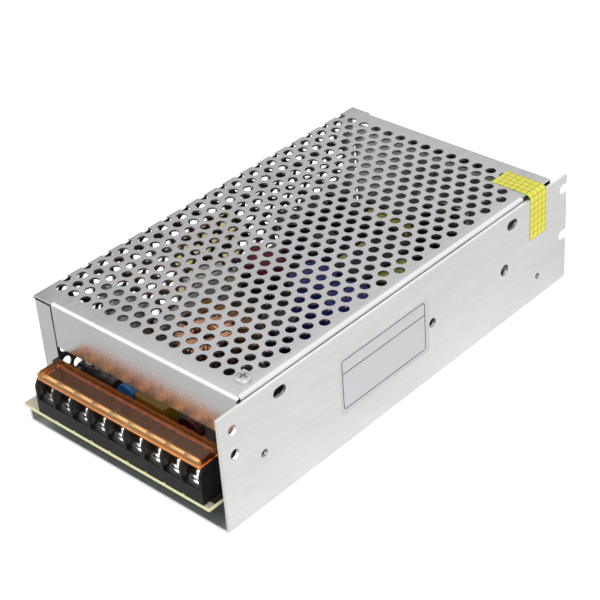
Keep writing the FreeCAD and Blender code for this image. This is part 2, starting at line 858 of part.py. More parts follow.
def make_transformer_bobbin():
    """Moulded coil former: a foot under the core and a flange at each end of the winding."""
    front = transformer_front + core_end
    rear = transformer_rear - core_end
    left = transformer_left + core_leg
    right = transformer_right - core_leg
    foot = box(transformer_left, transformer_right, transformer_front, transformer_rear, board_top, core_low)
    plates = []
    for y in (front, rear - bobbin_plate):
        for x0, x1 in ((transformer_left, left), (right, transformer_right)):
            plates.append(box(x0, x1, y, y + bobbin_plate, core_low, transformer_top - core_leg / 2))
        plates.append(box(left, right, y, y + bobbin_plate, core_middle - core_window,
                          core_middle + core_window))
    return join([foot] + plates)


def make_transformer_winding():
    """Winding wrapped in tape, between the flanges and through the window of the core."""
    front = transformer_front + core_end + bobbin_plate
    rear = transformer_rear - core_end - bobbin_plate
    low = core_low + 1
    high = transformer_top - 2
    through = box(transformer_left + core_leg, transformer_right - core_leg, front, rear,
                  core_middle - core_window, core_middle + core_window)
    bulges = []
    for side, inner in ((-1, transformer_left + core_leg), (1, transformer_right - core_leg)):
        outer = inner + side * (core_leg - winding_inset)
        edge = outer - side * winding_corner
        bulges.append(prism("y", plain(
            (inner, low), (edge, low), (outer, low + winding_corner), (outer, high - winding_corner),
            (edge, high), (inner, high)), front, rear))
    return join([through] + bulges)


# Auxiliary transformer
aux_left = -16.0
aux_right = 12.0
aux_front = 45.0
aux_rear = 56.4
aux_top = cover_under - 15.5
aux_plate = 1.6
aux_core_width = 8.0
aux_inset = 2.0
aux_corner = 2.5
aux_middle = (aux_left + aux_right) / 2
aux_hub_low = board_top + aux_core_width / 2
aux_hub_high = aux_top - aux_core_width


def make_aux_bobbin():
    plates = [box(aux_left, aux_right, y, y + aux_plate, board_top, aux_top)
              for y in (aux_front, aux_rear - aux_plate)]
    half = aux_core_width / 2
    hub = box(aux_middle - half, aux_middle + half, aux_front, aux_rear, aux_hub_low, aux_hub_high)
    return join(plates + [hub])


def make_aux_winding():
    half = aux_core_width / 2
    body = bevelled("y", aux_left + aux_inset, aux_right - aux_inset, board_top + 1, aux_top - aux_inset,
                    aux_corner, aux_front + aux_plate, aux_rear - aux_plate)
    return body.cut(box(aux_middle - half, aux_middle + half, aux_front, aux_rear, aux_hub_low, aux_hub_high))


# Upright heatsinks with the parts fastened to them
rectifier_plate_right = board_right - 14.3
rectifier_plate_left = rectifier_plate_right - 24.5
rectifier_plate_front = board_rear - 22.5
rectifier_plate_sheet = 1.8
rectifier_plate_top = cover_under - 7.5
bridge_plate_left = board_left + 2.3
bridge_plate_right = bridge_plate_left + 26.0
bridge_plate_front = block_rear + 27.5
bridge_plate_sheet = 1.6
bridge_plate_top = cover_under - 9.3
bridge_flange = 5.0
bridge_flange_sheet = 1.5
bridge_side = 2.0
bridge_thickness = 3.6
bridge_height = 17.0
bridge_pins = 4
switch_plate_right = board_right - 3.8
switch_plate_sheet = 2.0
switch_plate_left = switch_plate_right - switch_plate_sheet
switch_plate_front = -58.0
switch_plate_rear = -28.0
switch_plate_top = cover_under - 10.5
package_width = 10.0
package_thickness = 4.5
package_tab = 1.3
package_body = 9.2
package_height = 15.2
package_foot = 8.0
pin_pitch = 2.54
pin_half = 0.4
pin_setback = 2.0
pin_thickness = 0.6


def make_rectifier_heatsink():
    return box(rectifier_plate_left, rectifier_plate_right, rectifier_plate_front,
               rectifier_plate_front + rectifier_plate_sheet, board_top, rectifier_plate_top)


def make_bridge_heatsink():
    """Upright plate with a narrow flange turned over at its top."""
    plate = box(bridge_plate_left, bridge_plate_right, bridge_plate_front,
                bridge_plate_front + bridge_plate_sheet, board_top, bridge_plate_top)
    flange_rear = bridge_plate_front + bridge_flange
    flange = box(bridge_plate_left, bridge_plate_right, bridge_plate_front, flange_rear,
                 bridge_plate_top - bridge_flange_sheet, bridge_plate_top)
    return join([plate, flange])


def make_switch_heatsink():
    return box(switch_plate_left, switch_plate_right, switch_plate_front, switch_plate_rear, board_top,
               switch_plate_top)


def make_bridge_rectifier():
    """Four-pin rectifier behind its plate."""
    face = bridge_plate_front + bridge_plate_sheet
    low = board_top + package_foot
    left = bridge_plate_left + bridge_side
    right = bridge_plate_right - bridge_side
    body = box(left, right, face, face + bridge_thickness, low, low + bridge_height)
    pitch = (right - left) / bridge_pins
    pins = []
    for pin in range(bridge_pins):
        x = left + pitch * (pin + 0.5)
        pins.append(box(x - pin_half, x + pin_half, face + pin_setback - pin_thickness, face + pin_setback,
                        board_top, low))
    return join([body] + pins)


def power_package(axis, centre, face):
    """Body, metal tab and three pins of a package that stands against a plate, on the low side of it."""
    low = board_top + package_foot
    half = package_width / 2

    def piece(side0, side1, out, back, z0, z1):
        if axis == "y":
            return box(centre + side0, centre + side1, face - out, face - back, z0, z1)
        return box(face - out, face - back, centre + side0, centre + side1, z0, z1)

    body = piece(-half, half, package_thickness, 0, low, low + package_body)
    tab = piece(-half, half, package_tab, 0, low + package_body, low + package_height)
    pins = [piece(side - pin_half, side + pin_half, pin_setback + pin_thickness, pin_setback, board_top, low)
            for side in (-pin_pitch, 0, pin_pitch)]
    return join([body, tab] + pins)


def quarters(low, high):
    """Places of two packages that share a plate."""
    quarter = (high - low) / 4
    return (low + quarter, high - quarter)


def make_rectifiers():
    return group([power_package("y", x, rectifier_plate_front)
                  for x in quarters(rectifier_plate_left, rectifier_plate_right)])


def make_switch_transistors():
    return group([power_package("x", y, switch_plate_left)
                  for y in quarters(switch_plate_front, switch_plate_rear)])


def make_label():
    """Rating plate sticker, left without any text."""
    return bevelled("x", label_front, label_rear, label_bottom, label_top, label_corner, wall_outer,
                    wall_outer + film)


def make_side_sticker():
    """Plain sticker on the outside of the perforated left wall."""
    return box(left_outer - film, left_outer, side_sticker_front, side_sticker_rear,
               side_sticker_bottom, side_sticker_top)


def make_tape():
    """Seal that runs up the side wall, over its edge and onto the cover."""
    outer = wall_outer + film
    return prism("y", plain(
        (wall_outer, tape_bottom), (outer, tape_bottom), (outer, side_wall_height + film),
        (flange_right, case_height + film), (tape_inner, case_height + film), (tape_inner, case_height),
        (flange_right, case_height), (wall_outer, side_wall_height)), tape_front, tape_rear)


def build():
    parts = {
        "chassis": make_chassis(),
        "cover": make_cover(),
        "cover_screw": make_cover_screw(),
        "circuit_board": make_board(),
        "board_standoffs": make_standoffs(),
        "board_screws": make_board_screws(),
        "terminal_block": make_block(),
        "terminal_contacts": make_contacts(),
        "terminal_clamps": make_clamps(),
        "terminal_screws": make_terminal_screws(),
        "terminal_cover": make_lid(),
        "fuse": make_fuse(),
        "fuse_clips": make_fuse_clips(),
        "suppressor_capacitor": make_suppressor(),
        "mains_capacitor": make_mains_capacitor(),
        "varistor": make_varistor(),
        "bridge_heatsink": make_bridge_heatsink(),
        "bridge_rectifier": make_bridge_rectifier(),
        "choke_core": make_choke_core(),
        "choke_winding": make_choke_winding(),
        "film_capacitor": make_film_capacitor(),
        "cement_resistor": make_cement_resistor(),
        "driver_transformer": make_driver_transformer(),
        "transformer_core": make_transformer_core(),
        "transformer_bobbin": make_transformer_bobbin(),
        "transformer_winding": make_transformer_winding(),
        "aux_bobbin": make_aux_bobbin(),
        "aux_winding": make_aux_winding(),
        "switch_heatsink": make_switch_heatsink(),
        "switch_transistors": make_switch_transistors(),
        "rectifier_heatsink": make_rectifier_heatsink(),
        "rectifiers": make_rectifiers(),
        "label": make_label(),
        "side_sticker": make_side_sticker(),
        "seal_tape": make_tape(),
    }
    for name, (x, y, form) in cans.items():
        parts[name] = can(x, y, form)
    return parts


def main():
    os.makedirs("parts", exist_ok=True)
    for name, shape in build().items():
        shape.exportStep(f"parts/{name}.step")
        print(name, len(shape.Solids), round(shape.Volume, 1), shape.isValid())


main()
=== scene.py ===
import bpy
import bmesh
import math
from mathutils import Matrix, Vector
from mathutils.geometry import delaunay_2d_cdt


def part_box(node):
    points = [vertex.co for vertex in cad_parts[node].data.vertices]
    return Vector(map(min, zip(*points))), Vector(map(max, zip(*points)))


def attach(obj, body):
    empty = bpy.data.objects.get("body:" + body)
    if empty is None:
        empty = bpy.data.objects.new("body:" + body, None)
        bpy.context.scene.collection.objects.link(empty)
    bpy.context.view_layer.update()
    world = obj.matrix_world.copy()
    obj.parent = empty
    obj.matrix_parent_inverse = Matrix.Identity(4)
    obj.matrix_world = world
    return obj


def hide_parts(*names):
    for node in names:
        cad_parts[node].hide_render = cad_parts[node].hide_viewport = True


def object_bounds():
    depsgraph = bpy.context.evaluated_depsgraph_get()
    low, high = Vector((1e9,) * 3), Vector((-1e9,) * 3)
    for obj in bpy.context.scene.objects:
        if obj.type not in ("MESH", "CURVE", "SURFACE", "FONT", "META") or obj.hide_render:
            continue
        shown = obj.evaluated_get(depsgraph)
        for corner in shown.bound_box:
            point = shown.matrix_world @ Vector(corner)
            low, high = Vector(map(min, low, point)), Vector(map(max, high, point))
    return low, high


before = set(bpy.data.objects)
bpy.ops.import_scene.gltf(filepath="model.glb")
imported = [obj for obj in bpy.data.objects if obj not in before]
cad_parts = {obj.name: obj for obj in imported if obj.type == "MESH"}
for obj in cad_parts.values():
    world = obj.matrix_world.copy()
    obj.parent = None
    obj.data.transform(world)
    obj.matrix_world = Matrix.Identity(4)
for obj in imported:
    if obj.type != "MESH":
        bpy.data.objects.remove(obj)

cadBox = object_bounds()
mm = 0.001
sharpAngle = 35.0
caseBody = "case"


# Shader nodes. A value fed to one is a number, a colour or the output of another node.

noiseRange = (0.3, 0.7)            # holds nearly all values of a noise
evenly = (1.0, 1.0, 1.0)


def rgba(colour):
    return tuple(colour) + (1.0,)


def shaded(values, share):
    return tuple(value * share for value in values)


def feed(tree, value, socket):
    if isinstance(value, (int, float)):
        socket.default_value = value
    elif isinstance(value, tuple):
        socket.default_value = rgba(value)
    else:
        tree.links.new(value, socket)


def calculate(tree, kind, first, second):
    node = tree.nodes.new("ShaderNodeMath")
    node.operation = kind
    feed(tree, first, node.inputs[0])
    feed(tree, second, node.inputs[1])
    return node.outputs[0]


def mixColour(tree, kind, factor, first, second):
    node = tree.nodes.new("ShaderNodeMix")
    node.data_type = "RGBA"
    node.blend_type = kind
    # several sockets share a name, so the colours go by number
    feed(tree, factor, node.inputs["Factor"])
    feed(tree, first, node.inputs[6])
    feed(tree, second, node.inputs[7])
    return node.outputs[2]


def placeOf(tree, kind="Object"):
    return tree.nodes.new("ShaderNodeTexCoord").outputs[kind]


def axisParts(tree, vector):
    split = tree.nodes.new("ShaderNodeSeparateXYZ")
    tree.links.new(vector, split.inputs[0])
    return split.outputs


def beyond(tree, axis, limit):
    # one where the object's coordinate is past a limit in millimetres, else zero
    return calculate(tree, "GREATER_THAN", axisParts(tree, placeOf(tree))[axis], limit * mm)


def facingUp(tree):
    # how far the surface looks up, from minus one to one
    surface = tree.nodes.new("ShaderNodeNewGeometry")
    return axisParts(tree, surface.outputs["True Normal"])["Z"]


def placedNoise(tree, scale, detail, stretch=evenly, roughness=0.55):
    mapping = tree.nodes.new("ShaderNodeMapping")
    mapping.inputs["Scale"].default_value = stretch
    noise = tree.nodes.new("ShaderNodeTexNoise")
    noise.inputs["Scale"].default_value = scale
    noise.inputs["Detail"].default_value = detail
    noise.inputs["Roughness"].default_value = roughness
    tree.links.new(placeOf(tree), mapping.inputs["Vector"])
    tree.links.new(mapping.outputs["Vector"], noise.inputs["Vector"])
    return noise.outputs["Fac"]


def ramp(tree, source, stops):
    node = tree.nodes.new("ShaderNodeValToRGB")
    tree.links.new(source, node.inputs[0])
    for index, (at, colour) in enumerate(stops):
        stop = node.color_ramp.elements[index] if index < 2 else node.color_ramp.elements.new(at)
        stop.position = at
        stop.color = rgba(colour)
    return node.outputs["Color"]


def blend(tree, source, pair, limits=noiseRange):
    return ramp(tree, source, tuple(zip(limits, pair)))


def greySteps(tree, source, steps):
    return ramp(tree, source, [(at, (level,) * 3) for at, level in steps])


def spread(tree, source, low, high):
    # a noise brought to the range from low to high
    node = tree.nodes.new("ShaderNodeMapRange")
    for socket, value in zip(("From Min", "From Max", "To Min", "To Max"), noiseRange + (low, high)):
        node.inputs[socket].default_value = value
    tree.links.new(source, node.inputs["Value"])
    return node.outputs["Result"]


def bump(tree, shader, height, strength, depth):
    # depth in millimetres
    node = tree.nodes.new("ShaderNodeBump")
    node.inputs["Strength"].default_value = strength
    node.inputs["Distance"].default_value = depth * mm
    tree.links.new(height, node.inputs["Height"])
    tree.links.new(node.outputs["Normal"], shader.inputs["Normal"])


# Camera, floor and light

studioView = {
    "focalPixels": 1688.184,      # fitted on the straight edges and the hole pattern of the photograph
    "picturePixels": 600,
    "sensor": 36.0,
    "nearest": 0.01,              # metres
    "farthest": 50.0,
    "azimuth": 44.528,
    "elevation": 34.025,
    "roll": -4.404,
    "right": -3.598,              # camera place in its own axes, millimetres
    "up": 18.145,
    "back": 671.589,
}

studioLight = {
    "floorColour": (0.86, 0.86, 0.86),
    "floorGlow": 0.82,            # keeps the ground white where it is seen
    "floorShine": 0.06,           # the much weaker glow that metal mirrors, so that the walls stay grey
    "floorSize": 14.0,
    "floorGap": 0.02,             # millimetres under the object
    "ambient": 0.58,
}

lamps = {
    "keyLamp": {"place": (-0.75, -0.95, 1.35), "size": 0.9, "power": 4.0},
    "fillLamp": {"place": (1.3, -0.75, 0.6), "size": 1.1, "power": 9.0},
}

# What shiny surfaces mirror: pairs of a direction's part along an axis and the brightness or share there
studioSky = {
    "upwards": ((0.05, 1.2), (0.38, 0.62), (0.48, 0.62), (0.60, 0.86), (0.76, 1.3)),
    "leftFall": ((0.56, 1.0), (0.80, 0.40)),
    "rightShare": ((0.22, 1.0), (0.46, 0.0)),
    "frontShare": ((0.05, 1.0), (0.40, 0.0)),
    "right": (1.4, 1.4, 1.4),
    "front": (1.4, 1.4, 1.4),
}


def cameraAxes(view):
    azimuth = math.radians(view["azimuth"])
    elevation = math.radians(view["elevation"])
    roll = math.radians(view["roll"])
    back = Vector((math.sin(azimuth) * math.cos(elevation), -math.cos(azimuth) * math.cos(elevation),
                   math.sin(elevation)))
    level = Vector((math.cos(azimuth), math.sin(azimuth), 0.0))
    upright = back.cross(level)
    right = math.cos(roll) * level + math.sin(roll) * upright
    up = -math.sin(roll) * level + math.cos(roll) * upright
    return right, up, back


def makeCamera(view):
    right, up, back = cameraAxes(view)
    place = (right * view["right"] + up * view["up"] + back * view["back"]) * mm
    lens = bpy.data.cameras.new("photoCamera")
    lens.sensor_width = view["sensor"]
    lens.lens = view["focalPixels"] / view["picturePixels"] * view["sensor"]
    lens.clip_start = view["nearest"]
    lens.clip_end = view["farthest"]
    camera = bpy.data.objects.new("photoCamera", lens)
    camera.matrix_world = Matrix.Translation(place) @ Matrix((right, up, back)).transposed().to_4x4()
    bpy.context.scene.collection.objects.link(camera)
    bpy.context.scene.camera = camera


def aimedLamp(name, place, size, power):
    lamp = bpy.data.lights.new(name, "AREA")
    lamp.shape = "DISK"
    lamp.size = size
    lamp.energy = power
    holder = bpy.data.objects.new(name, lamp)
    holder.location = place
    holder.rotation_euler = (-Vector(place)).to_track_quat("-Z", "Y").to_euler()
    bpy.context.scene.collection.objects.link(holder)


def seenDirectly(tree, rays=("Is Camera Ray", "Is Glossy Ray", "Is Transmission Ray")):
    path = tree.nodes.new("ShaderNodeLightPath")
    seen = path.outputs[rays[0]]
    for ray in rays[1:]:
        seen = calculate(tree, "MAXIMUM", seen, path.outputs[ray])
    return seen


def makeWorld(light, sky):
    world = bpy.data.worlds.new("studioWorld")
    world.use_nodes = True
    bpy.context.scene.world = world
    tree = world.node_tree
    background = tree.nodes["Background"]
    towards = axisParts(tree, placeOf(tree, "Generated"))
    leftwards = calculate(tree, "MULTIPLY", towards["X"], -1.0)
    sweep = greySteps(tree, towards["Z"], sky["upwards"])
    sweep = mixColour(tree, "MULTIPLY", 1.0, sweep, greySteps(tree, leftwards, sky["leftFall"]))
    sweep = mixColour(tree, "MIX", greySteps(tree, leftwards, sky["rightShare"]), sweep, sky["right"])
    sweep = mixColour(tree, "MIX", greySteps(tree, towards["Y"], sky["frontShare"]), sweep, sky["front"])
    ambient = (light["ambient"],) * 3
    tree.links.new(mixColour(tree, "MIX", seenDirectly(tree), ambient, sweep), background.inputs["Color"])


def makeFloor(light):
    half = light["floorSize"] / 2
    ground = bpy.data.meshes.new("studioFloor")
    corners = [(-half, -half, 0), (half, -half, 0), (half, half, 0), (-half, half, 0)]
    ground.from_pydata(corners, [], [(0, 1, 2, 3)])
    floor = bpy.data.objects.new("studioFloor", ground)
    floor.location.z = cadBox[0][2] - light["floorGap"] * mm
    bpy.context.scene.collection.objects.link(floor)
    paper = bpy.data.materials.new("whiteSweep")
    paper.use_nodes = True
    tree = paper.node_tree
    tree.nodes.remove(tree.nodes["Principled BSDF"])
    matt = tree.nodes.new("ShaderNodeBsdfDiffuse")
    matt.inputs["Color"].default_value = light["floorColour"] + (1.0,)
    glow = tree.nodes.new("ShaderNodeEmission")
    direct = seenDirectly(tree, ("Is Camera Ray", "Is Transmission Ray"))
    mirrored = seenDirectly(tree, ("Is Glossy Ray",))
    strength = calculate(tree, "MAXIMUM", calculate(tree, "MULTIPLY", direct, light["floorGlow"]),
                         calculate(tree, "MULTIPLY", mirrored, light["floorShine"]))
    tree.links.new(strength, glow.inputs["Strength"])
    both = tree.nodes.new("ShaderNodeAddShader")
    tree.links.new(matt.outputs[0], both.inputs[0])
    tree.links.new(glow.outputs[0], both.inputs[1])
    tree.links.new(both.outputs[0], tree.nodes["Material Output"].inputs["Surface"])
    ground.materials.append(paper)


def makeStudio():
    makeCamera(studioView)
    makeWorld(studioLight, studioSky)
    makeFloor(studioLight)
    for name, lamp in lamps.items():
        aimedLamp(name, **lamp)
    bpy.context.scene.view_settings.view_transform = "Standard"
    print("studio: camera, white floor and", len(lamps), "soft lamps")


# Materials. Limits on a piece are in millimetres of its own coordinates.

# behind this border, under the cover, the board's top is painted near black as shade
boardBorder = {"right": -45.0, "rear": -99.0}      # bare border along the left and the front of the board
# the lip's top in this room is made matt and bright, painted highlight
rearLip = {"low": 40.0, "right": 44.0}             # room that holds the lip inside the rear wall
# in front of the rear limit the lid is brighter and less clear, painted highlight on its front rim
lidBand = {"rear": -99.6, "clear": 0.95, "litBandThrough": 0.70}
# below this height the driver transformer is painted near black as shade
driverShadeHeight = 19.0
tilted = 0.5                       # a surface that looks up or down by more counts as top or underside
creases = {"metal": 0.82, "paper": 0.94, "tape": 0.72}      # darker share of a finish's own colour
wear = {"metal": (0.75, 1.3), "plastic": (0.85, 1.15)}      # shares between which its roughness varies
amberRoughness = (0.05, 0.12)

# Pairs of colours between which a noise blends
tints = {
    "rolling": ((0.96, 0.96, 0.96), (1.0, 1.0, 1.0)),
    "clearAmber": ((0.66, 0.26, 0.06), (0.80, 0.36, 0.09)),
    # painted highlight: the brighter amber of the lid's front band
    "litAmberBand": ((0.96, 0.50, 0.17), (1.0, 0.66, 0.32)),
    "sawnEdge": ((0.92, 0.90, 0.44), (1.0, 1.0, 0.62)),
    "bareBoard": ((0.62, 0.56, 0.45), (0.72, 0.65, 0.54)),
    # painted shade: the board's top under the cover, and its faces looking down
    "shadedBoardTop": ((0.022, 0.024, 0.018), (0.036, 0.038, 0.030)),
    "shadedUnderside": ((0.16, 0.20, 0.19), (0.23, 0.27, 0.26)),
    "tapeGround": ((0.95, 0.87, 0.05), (1.0, 0.95, 0.08)),
    "enamel": ((0.78, 0.30, 0.13), (1.0, 0.60, 0.36)),
}

sheets = {
    "coverMetal": {"pair": ((0.64, 0.64, 0.65), (0.69, 0.69, 0.70)), "roughness": (0.24, 0.30),
                   "streak": (1.0, 0.05, 0.05), "relief": 0.08},
    # painted shade: a darkened copy of the cover sheet for its inner faces
    "coverInside": {"pair": ((0.16, 0.16, 0.165), (0.21, 0.21, 0.215)), "roughness": (0.34, 0.42),
                    "streak": (1.0, 0.05, 0.05), "relief": 0.08},
    "chassisMetal": {"pair": ((0.87, 0.87, 0.86), (0.91, 0.91, 0.90)), "roughness": (0.38, 0.44),
                     "streak": (1.0, 0.05, 0.6), "relief": 0.03},
}

metals = {
    "screwMetal": {"colour": (0.52, 0.52, 0.51), "roughness": 0.48},
    "tinPlate": {"colour": (0.90, 0.89, 0.86), "roughness": 0.16},
    "heatsinkMetal": {"colour": (0.42, 0.42, 0.43), "roughness": 0.22},
}

mouldings = {
    "darkTop": {"colour": (0.02, 0.02, 0.024), "roughness": 0.35},
    "blackMoulding": {"colour": (0.010, 0.010, 0.011), "roughness": 0.40, "speck": 0.3, "gloss": 0.25},
    "blackPlastic": {"colour": (0.02, 0.02, 0.022), "roughness": 0.45, "gloss": 0.3},
    "labelPaper": {"colour": (0.67, 0.685, 0.70), "roughness": 0.38, "speck": 0.02, "coat": 0.2},
    "labelInk": {"colour": (0.02, 0.02, 0.025), "roughness": 0.5},
    "whiteCeramic": {"colour": (0.86, 0.85, 0.80), "roughness": 0.6, "speck": 0.08},
    "blueCoating": {"colour": (0.02, 0.20, 0.55), "roughness": 0.2, "coat": 0.5},
    "redCoating": {"colour": (0.07, 0.006, 0.012), "roughness": 0.35, "coat": 0.2},
    "yellowPlastic": {"colour": (0.34, 0.19, 0.012), "roughness": 0.4, "speck": 0.15, "coat": 0.1},
    "tanCoating": {"colour": (0.50, 0.25, 0.07), "roughness": 0.35, "gloss": 0.25},
    "blueSleeve": {"colour": (0.03, 0.05, 0.34), "roughness": 0.30, "speck": 0.15, "gloss": 0.4},
    "navySleeve": {"colour": (0.008, 0.012, 0.05), "roughness": 0.28, "speck": 0.15, "coat": 0.3},
    "blackSleeve": {"colour": (0.012, 0.012, 0.014), "roughness": 0.28, "speck": 0.15, "coat": 0.4},
    "ferrite": {"colour": (0.02, 0.02, 0.022), "roughness": 0.5, "speck": 0.3, "gloss": 0.3},
    "fuseGlass": {"colour": (0.03, 0.03, 0.03), "roughness": 0.1, "coat": 0.6},
}


def startMaterial(name, sockets):
    material = bpy.data.materials.new(name)
    material.use_nodes = True
    shader = material.node_tree.nodes["Principled BSDF"]
    for socket, value in sockets.items():
        shader.inputs[socket].default_value = value
    return material, material.node_tree, shader


def sheetMetal(name, pair, roughness, streak, relief):
    material, tree, shader = startMaterial(name, {"Metallic": 1.0, "IOR": 1.8})
    rolled = placedNoise(tree, scale=900.0, detail=2.0, stretch=streak, roughness=0.6)
    cloud = placedNoise(tree, scale=22.0, detail=4.0, roughness=0.6)
    smudge = blend(tree, cloud, pair, limits=(0.30, 0.62))
    line = blend(tree, rolled, tints["rolling"], limits=(0.35, 0.65))
    tree.links.new(mixColour(tree, "MULTIPLY", 1.0, smudge, line), shader.inputs["Base Color"])
    tree.links.new(spread(tree, rolled, *roughness), shader.inputs["Roughness"])
    bump(tree, shader, rolled, strength=relief, depth=0.06)
    return material


def paintedLipHighlight(material):
    # painted highlight: the top of the lip inside the rear wall is made matt instead of metal, so that it
    # shows bright
    tree = material.node_tree
    upward = calculate(tree, "GREATER_THAN", facingUp(tree), tilted)
    onTop = calculate(tree, "MINIMUM", upward, beyond(tree, "Z", rearLip["low"]))
    metallic = calculate(tree, "MAXIMUM", calculate(tree, "SUBTRACT", 1.0, onTop),
                         beyond(tree, "X", rearLip["right"]))
    tree.links.new(metallic, tree.nodes["Principled BSDF"].inputs["Metallic"])


def plainMetal(name, colour, roughness):
    material, tree, shader = startMaterial(name, {"Metallic": 1.0})
    fine = placedNoise(tree, scale=700.0, detail=3.0)
    shade = blend(tree, fine, (shaded(colour, creases["metal"]), colour), limits=(0.3, 0.6))
    tree.links.new(shade, shader.inputs["Base Color"])
    tree.links.new(spread(tree, fine, *shaded(wear["metal"], roughness)), shader.inputs["Roughness"])
    bump(tree, shader, fine, strength=0.12, depth=0.05)
    return material


def mouldedPlastic(name, colour, roughness, speck=0.2, coat=0.0, gloss=0.5):
    material, tree, shader = startMaterial(name, {
        "Coat Weight": coat, "Coat Roughness": 0.1, "Specular IOR Level": gloss})
    grain = placedNoise(tree, scale=1500.0, detail=2.0)
    patch = placedNoise(tree, scale=120.0, detail=4.0)
    shade = blend(tree, patch, (shaded(colour, 1.0 - speck), colour), limits=(0.35, 0.65))
    tree.links.new(shade, shader.inputs["Base Color"])
    tree.links.new(spread(tree, patch, *shaded(wear["plastic"], roughness)), shader.inputs["Roughness"])
    bump(tree, shader, grain, strength=0.15, depth=0.04)
    return material


def amberPlastic(name):
    # clear amber sheet; a brighter, less clear band along its front edge is painted highlight for the light
    # its front rim catches
    material, tree, shader = startMaterial(name, {"IOR": 1.22})
    drawn = placedNoise(tree, scale=260.0, detail=3.0, stretch=(0.15, 1.0, 1.0))
    behind = beyond(tree, "Y", lidBand["rear"])
    shade = mixColour(tree, "MIX", behind, blend(tree, drawn, tints["litAmberBand"]),
                      blend(tree, drawn, tints["clearAmber"]))
    clearer = calculate(tree, "MULTIPLY", behind, lidBand["clear"] - lidBand["litBandThrough"])
    through = calculate(tree, "ADD", clearer, lidBand["litBandThrough"])
    tree.links.new(shade, shader.inputs["Base Color"])
    tree.links.new(through, shader.inputs["Transmission Weight"])
    tree.links.new(spread(tree, drawn, *amberRoughness), shader.inputs["Roughness"])
    bump(tree, shader, drawn, strength=0.10, depth=0.06)
    return material


def thinPaper(name, colour, share=0.55):
    # lets a share of the light through from its back
    material, tree, shader = startMaterial(name, {"Roughness": 0.5})
    fibre = placedNoise(tree, scale=400.0, detail=4.0)
    shade = blend(tree, fibre, (shaded(colour, creases["paper"]), colour))
    tree.links.new(shade, shader.inputs["Base Color"])
    through = tree.nodes.new("ShaderNodeBsdfTranslucent")
    tree.links.new(shade, through.inputs["Color"])
    both = tree.nodes.new("ShaderNodeMixShader")
    both.inputs[0].default_value = share
    tree.links.new(shader.outputs[0], both.inputs[1])
    tree.links.new(through.outputs[0], both.inputs[2])
    tree.links.new(both.outputs[0], tree.nodes["Material Output"].inputs["Surface"])
    return material


def boardLaminate(name):
    # top behind a bare border painted near black as shade, sawn pale edges, faces looking down painted darker
    # as shade
    material, tree, shader = startMaterial(name, {
        "Coat Weight": 0.1, "Coat Roughness": 0.3, "Roughness": 0.5})
    weave = placedNoise(tree, scale=420.0, detail=4.0, stretch=(1.0, 1.0, 2.0))
    edge, bare, shadedTop, shadedUnder = (blend(tree, weave, tints[part])
                               for part in ("sawnEdge", "bareBoard", "shadedBoardTop", "shadedUnderside"))
    inside = calculate(tree, "MINIMUM", beyond(tree, "X", boardBorder["right"]),
                       beyond(tree, "Y", boardBorder["rear"]))
    facing = facingUp(tree)
    upward = calculate(tree, "GREATER_THAN", facing, tilted)
    downward = calculate(tree, "LESS_THAN", facing, -tilted)
    shade = mixColour(tree, "MIX", inside, bare, shadedTop)
    shade = mixColour(tree, "MIX", upward, edge, shade)
    shade = mixColour(tree, "MIX", downward, shade, shadedUnder)
    tree.links.new(shade, shader.inputs["Base Color"])
    bump(tree, shader, weave, strength=0.15, depth=0.05)
    return material


def paintedLines(tree, axis, pitch, width):
    sheet = tree.nodes.new("ShaderNodeUVMap")
    wrap = calculate(tree, "PINGPONG", axisParts(tree, sheet.outputs["UV"])[axis], pitch / 2)
    return calculate(tree, "LESS_THAN", wrap, width / 2)


def griddedTape(name, tape):
    material, tree, shader = startMaterial(name, {
        "Coat Weight": 0.2, "Coat Roughness": 0.2, "Roughness": 0.35})
    film = placedNoise(tree, scale=90.0, detail=4.0)
    ground = blend(tree, film, tints["tapeGround"], limits=(0.35, 0.65))
    across = paintedLines(tree, "X", tape["columnPitch"], tape["lineWidth"])
    along = paintedLines(tree, "Y", tape["rowPitch"], tape["lineWidth"])
    lines = calculate(tree, "MAXIMUM", across, along)
    tree.links.new(mixColour(tree, "MIX", lines, ground, tape["ink"]), shader.inputs["Base Color"])
    bump(tree, shader, film, strength=0.2, depth=0.1)
    return material


def tapeLaps(tree, shader, colour):
    lap = placedNoise(tree, scale=300.0, detail=2.0, stretch=(0.3, 0.3, 2.5))
    bump(tree, shader, lap, strength=0.35, depth=0.2)
    return blend(tree, lap, (shaded(colour, creases["tape"]), colour), limits=(0.35, 0.6))


def woundTape(name, colour):
    material, tree, shader = startMaterial(name, {
        "Coat Weight": 0.3, "Coat Roughness": 0.15, "Roughness": 0.35})
    tree.links.new(tapeLaps(tree, shader, colour), shader.inputs["Base Color"])
    return material


def tapeOverPaintedShade(name, colour, dark, height):
    # tape round the upper part; below a height a near-black colour, painted shade over the lower part of the
    # transformer
    material, tree, shader = startMaterial(name, {"Specular IOR Level": 0.2, "Roughness": 0.4})
    tape = tapeLaps(tree, shader, colour)
    tree.links.new(mixColour(tree, "MIX", beyond(tree, "Z", height), dark, tape), shader.inputs["Base Color"])
    return material


def enamelWire(name):
    material, tree, shader = startMaterial(name, {
        "Metallic": 0.85, "Coat Weight": 0.6, "Coat Roughness": 0.1, "Roughness": 0.16})
    tint = placedNoise(tree, scale=350.0, detail=3.0)
    tree.links.new(blend(tree, tint, tints["enamel"]), shader.inputs["Base Color"])
    bump(tree, shader, tint, strength=0.1, depth=0.05)
    return material


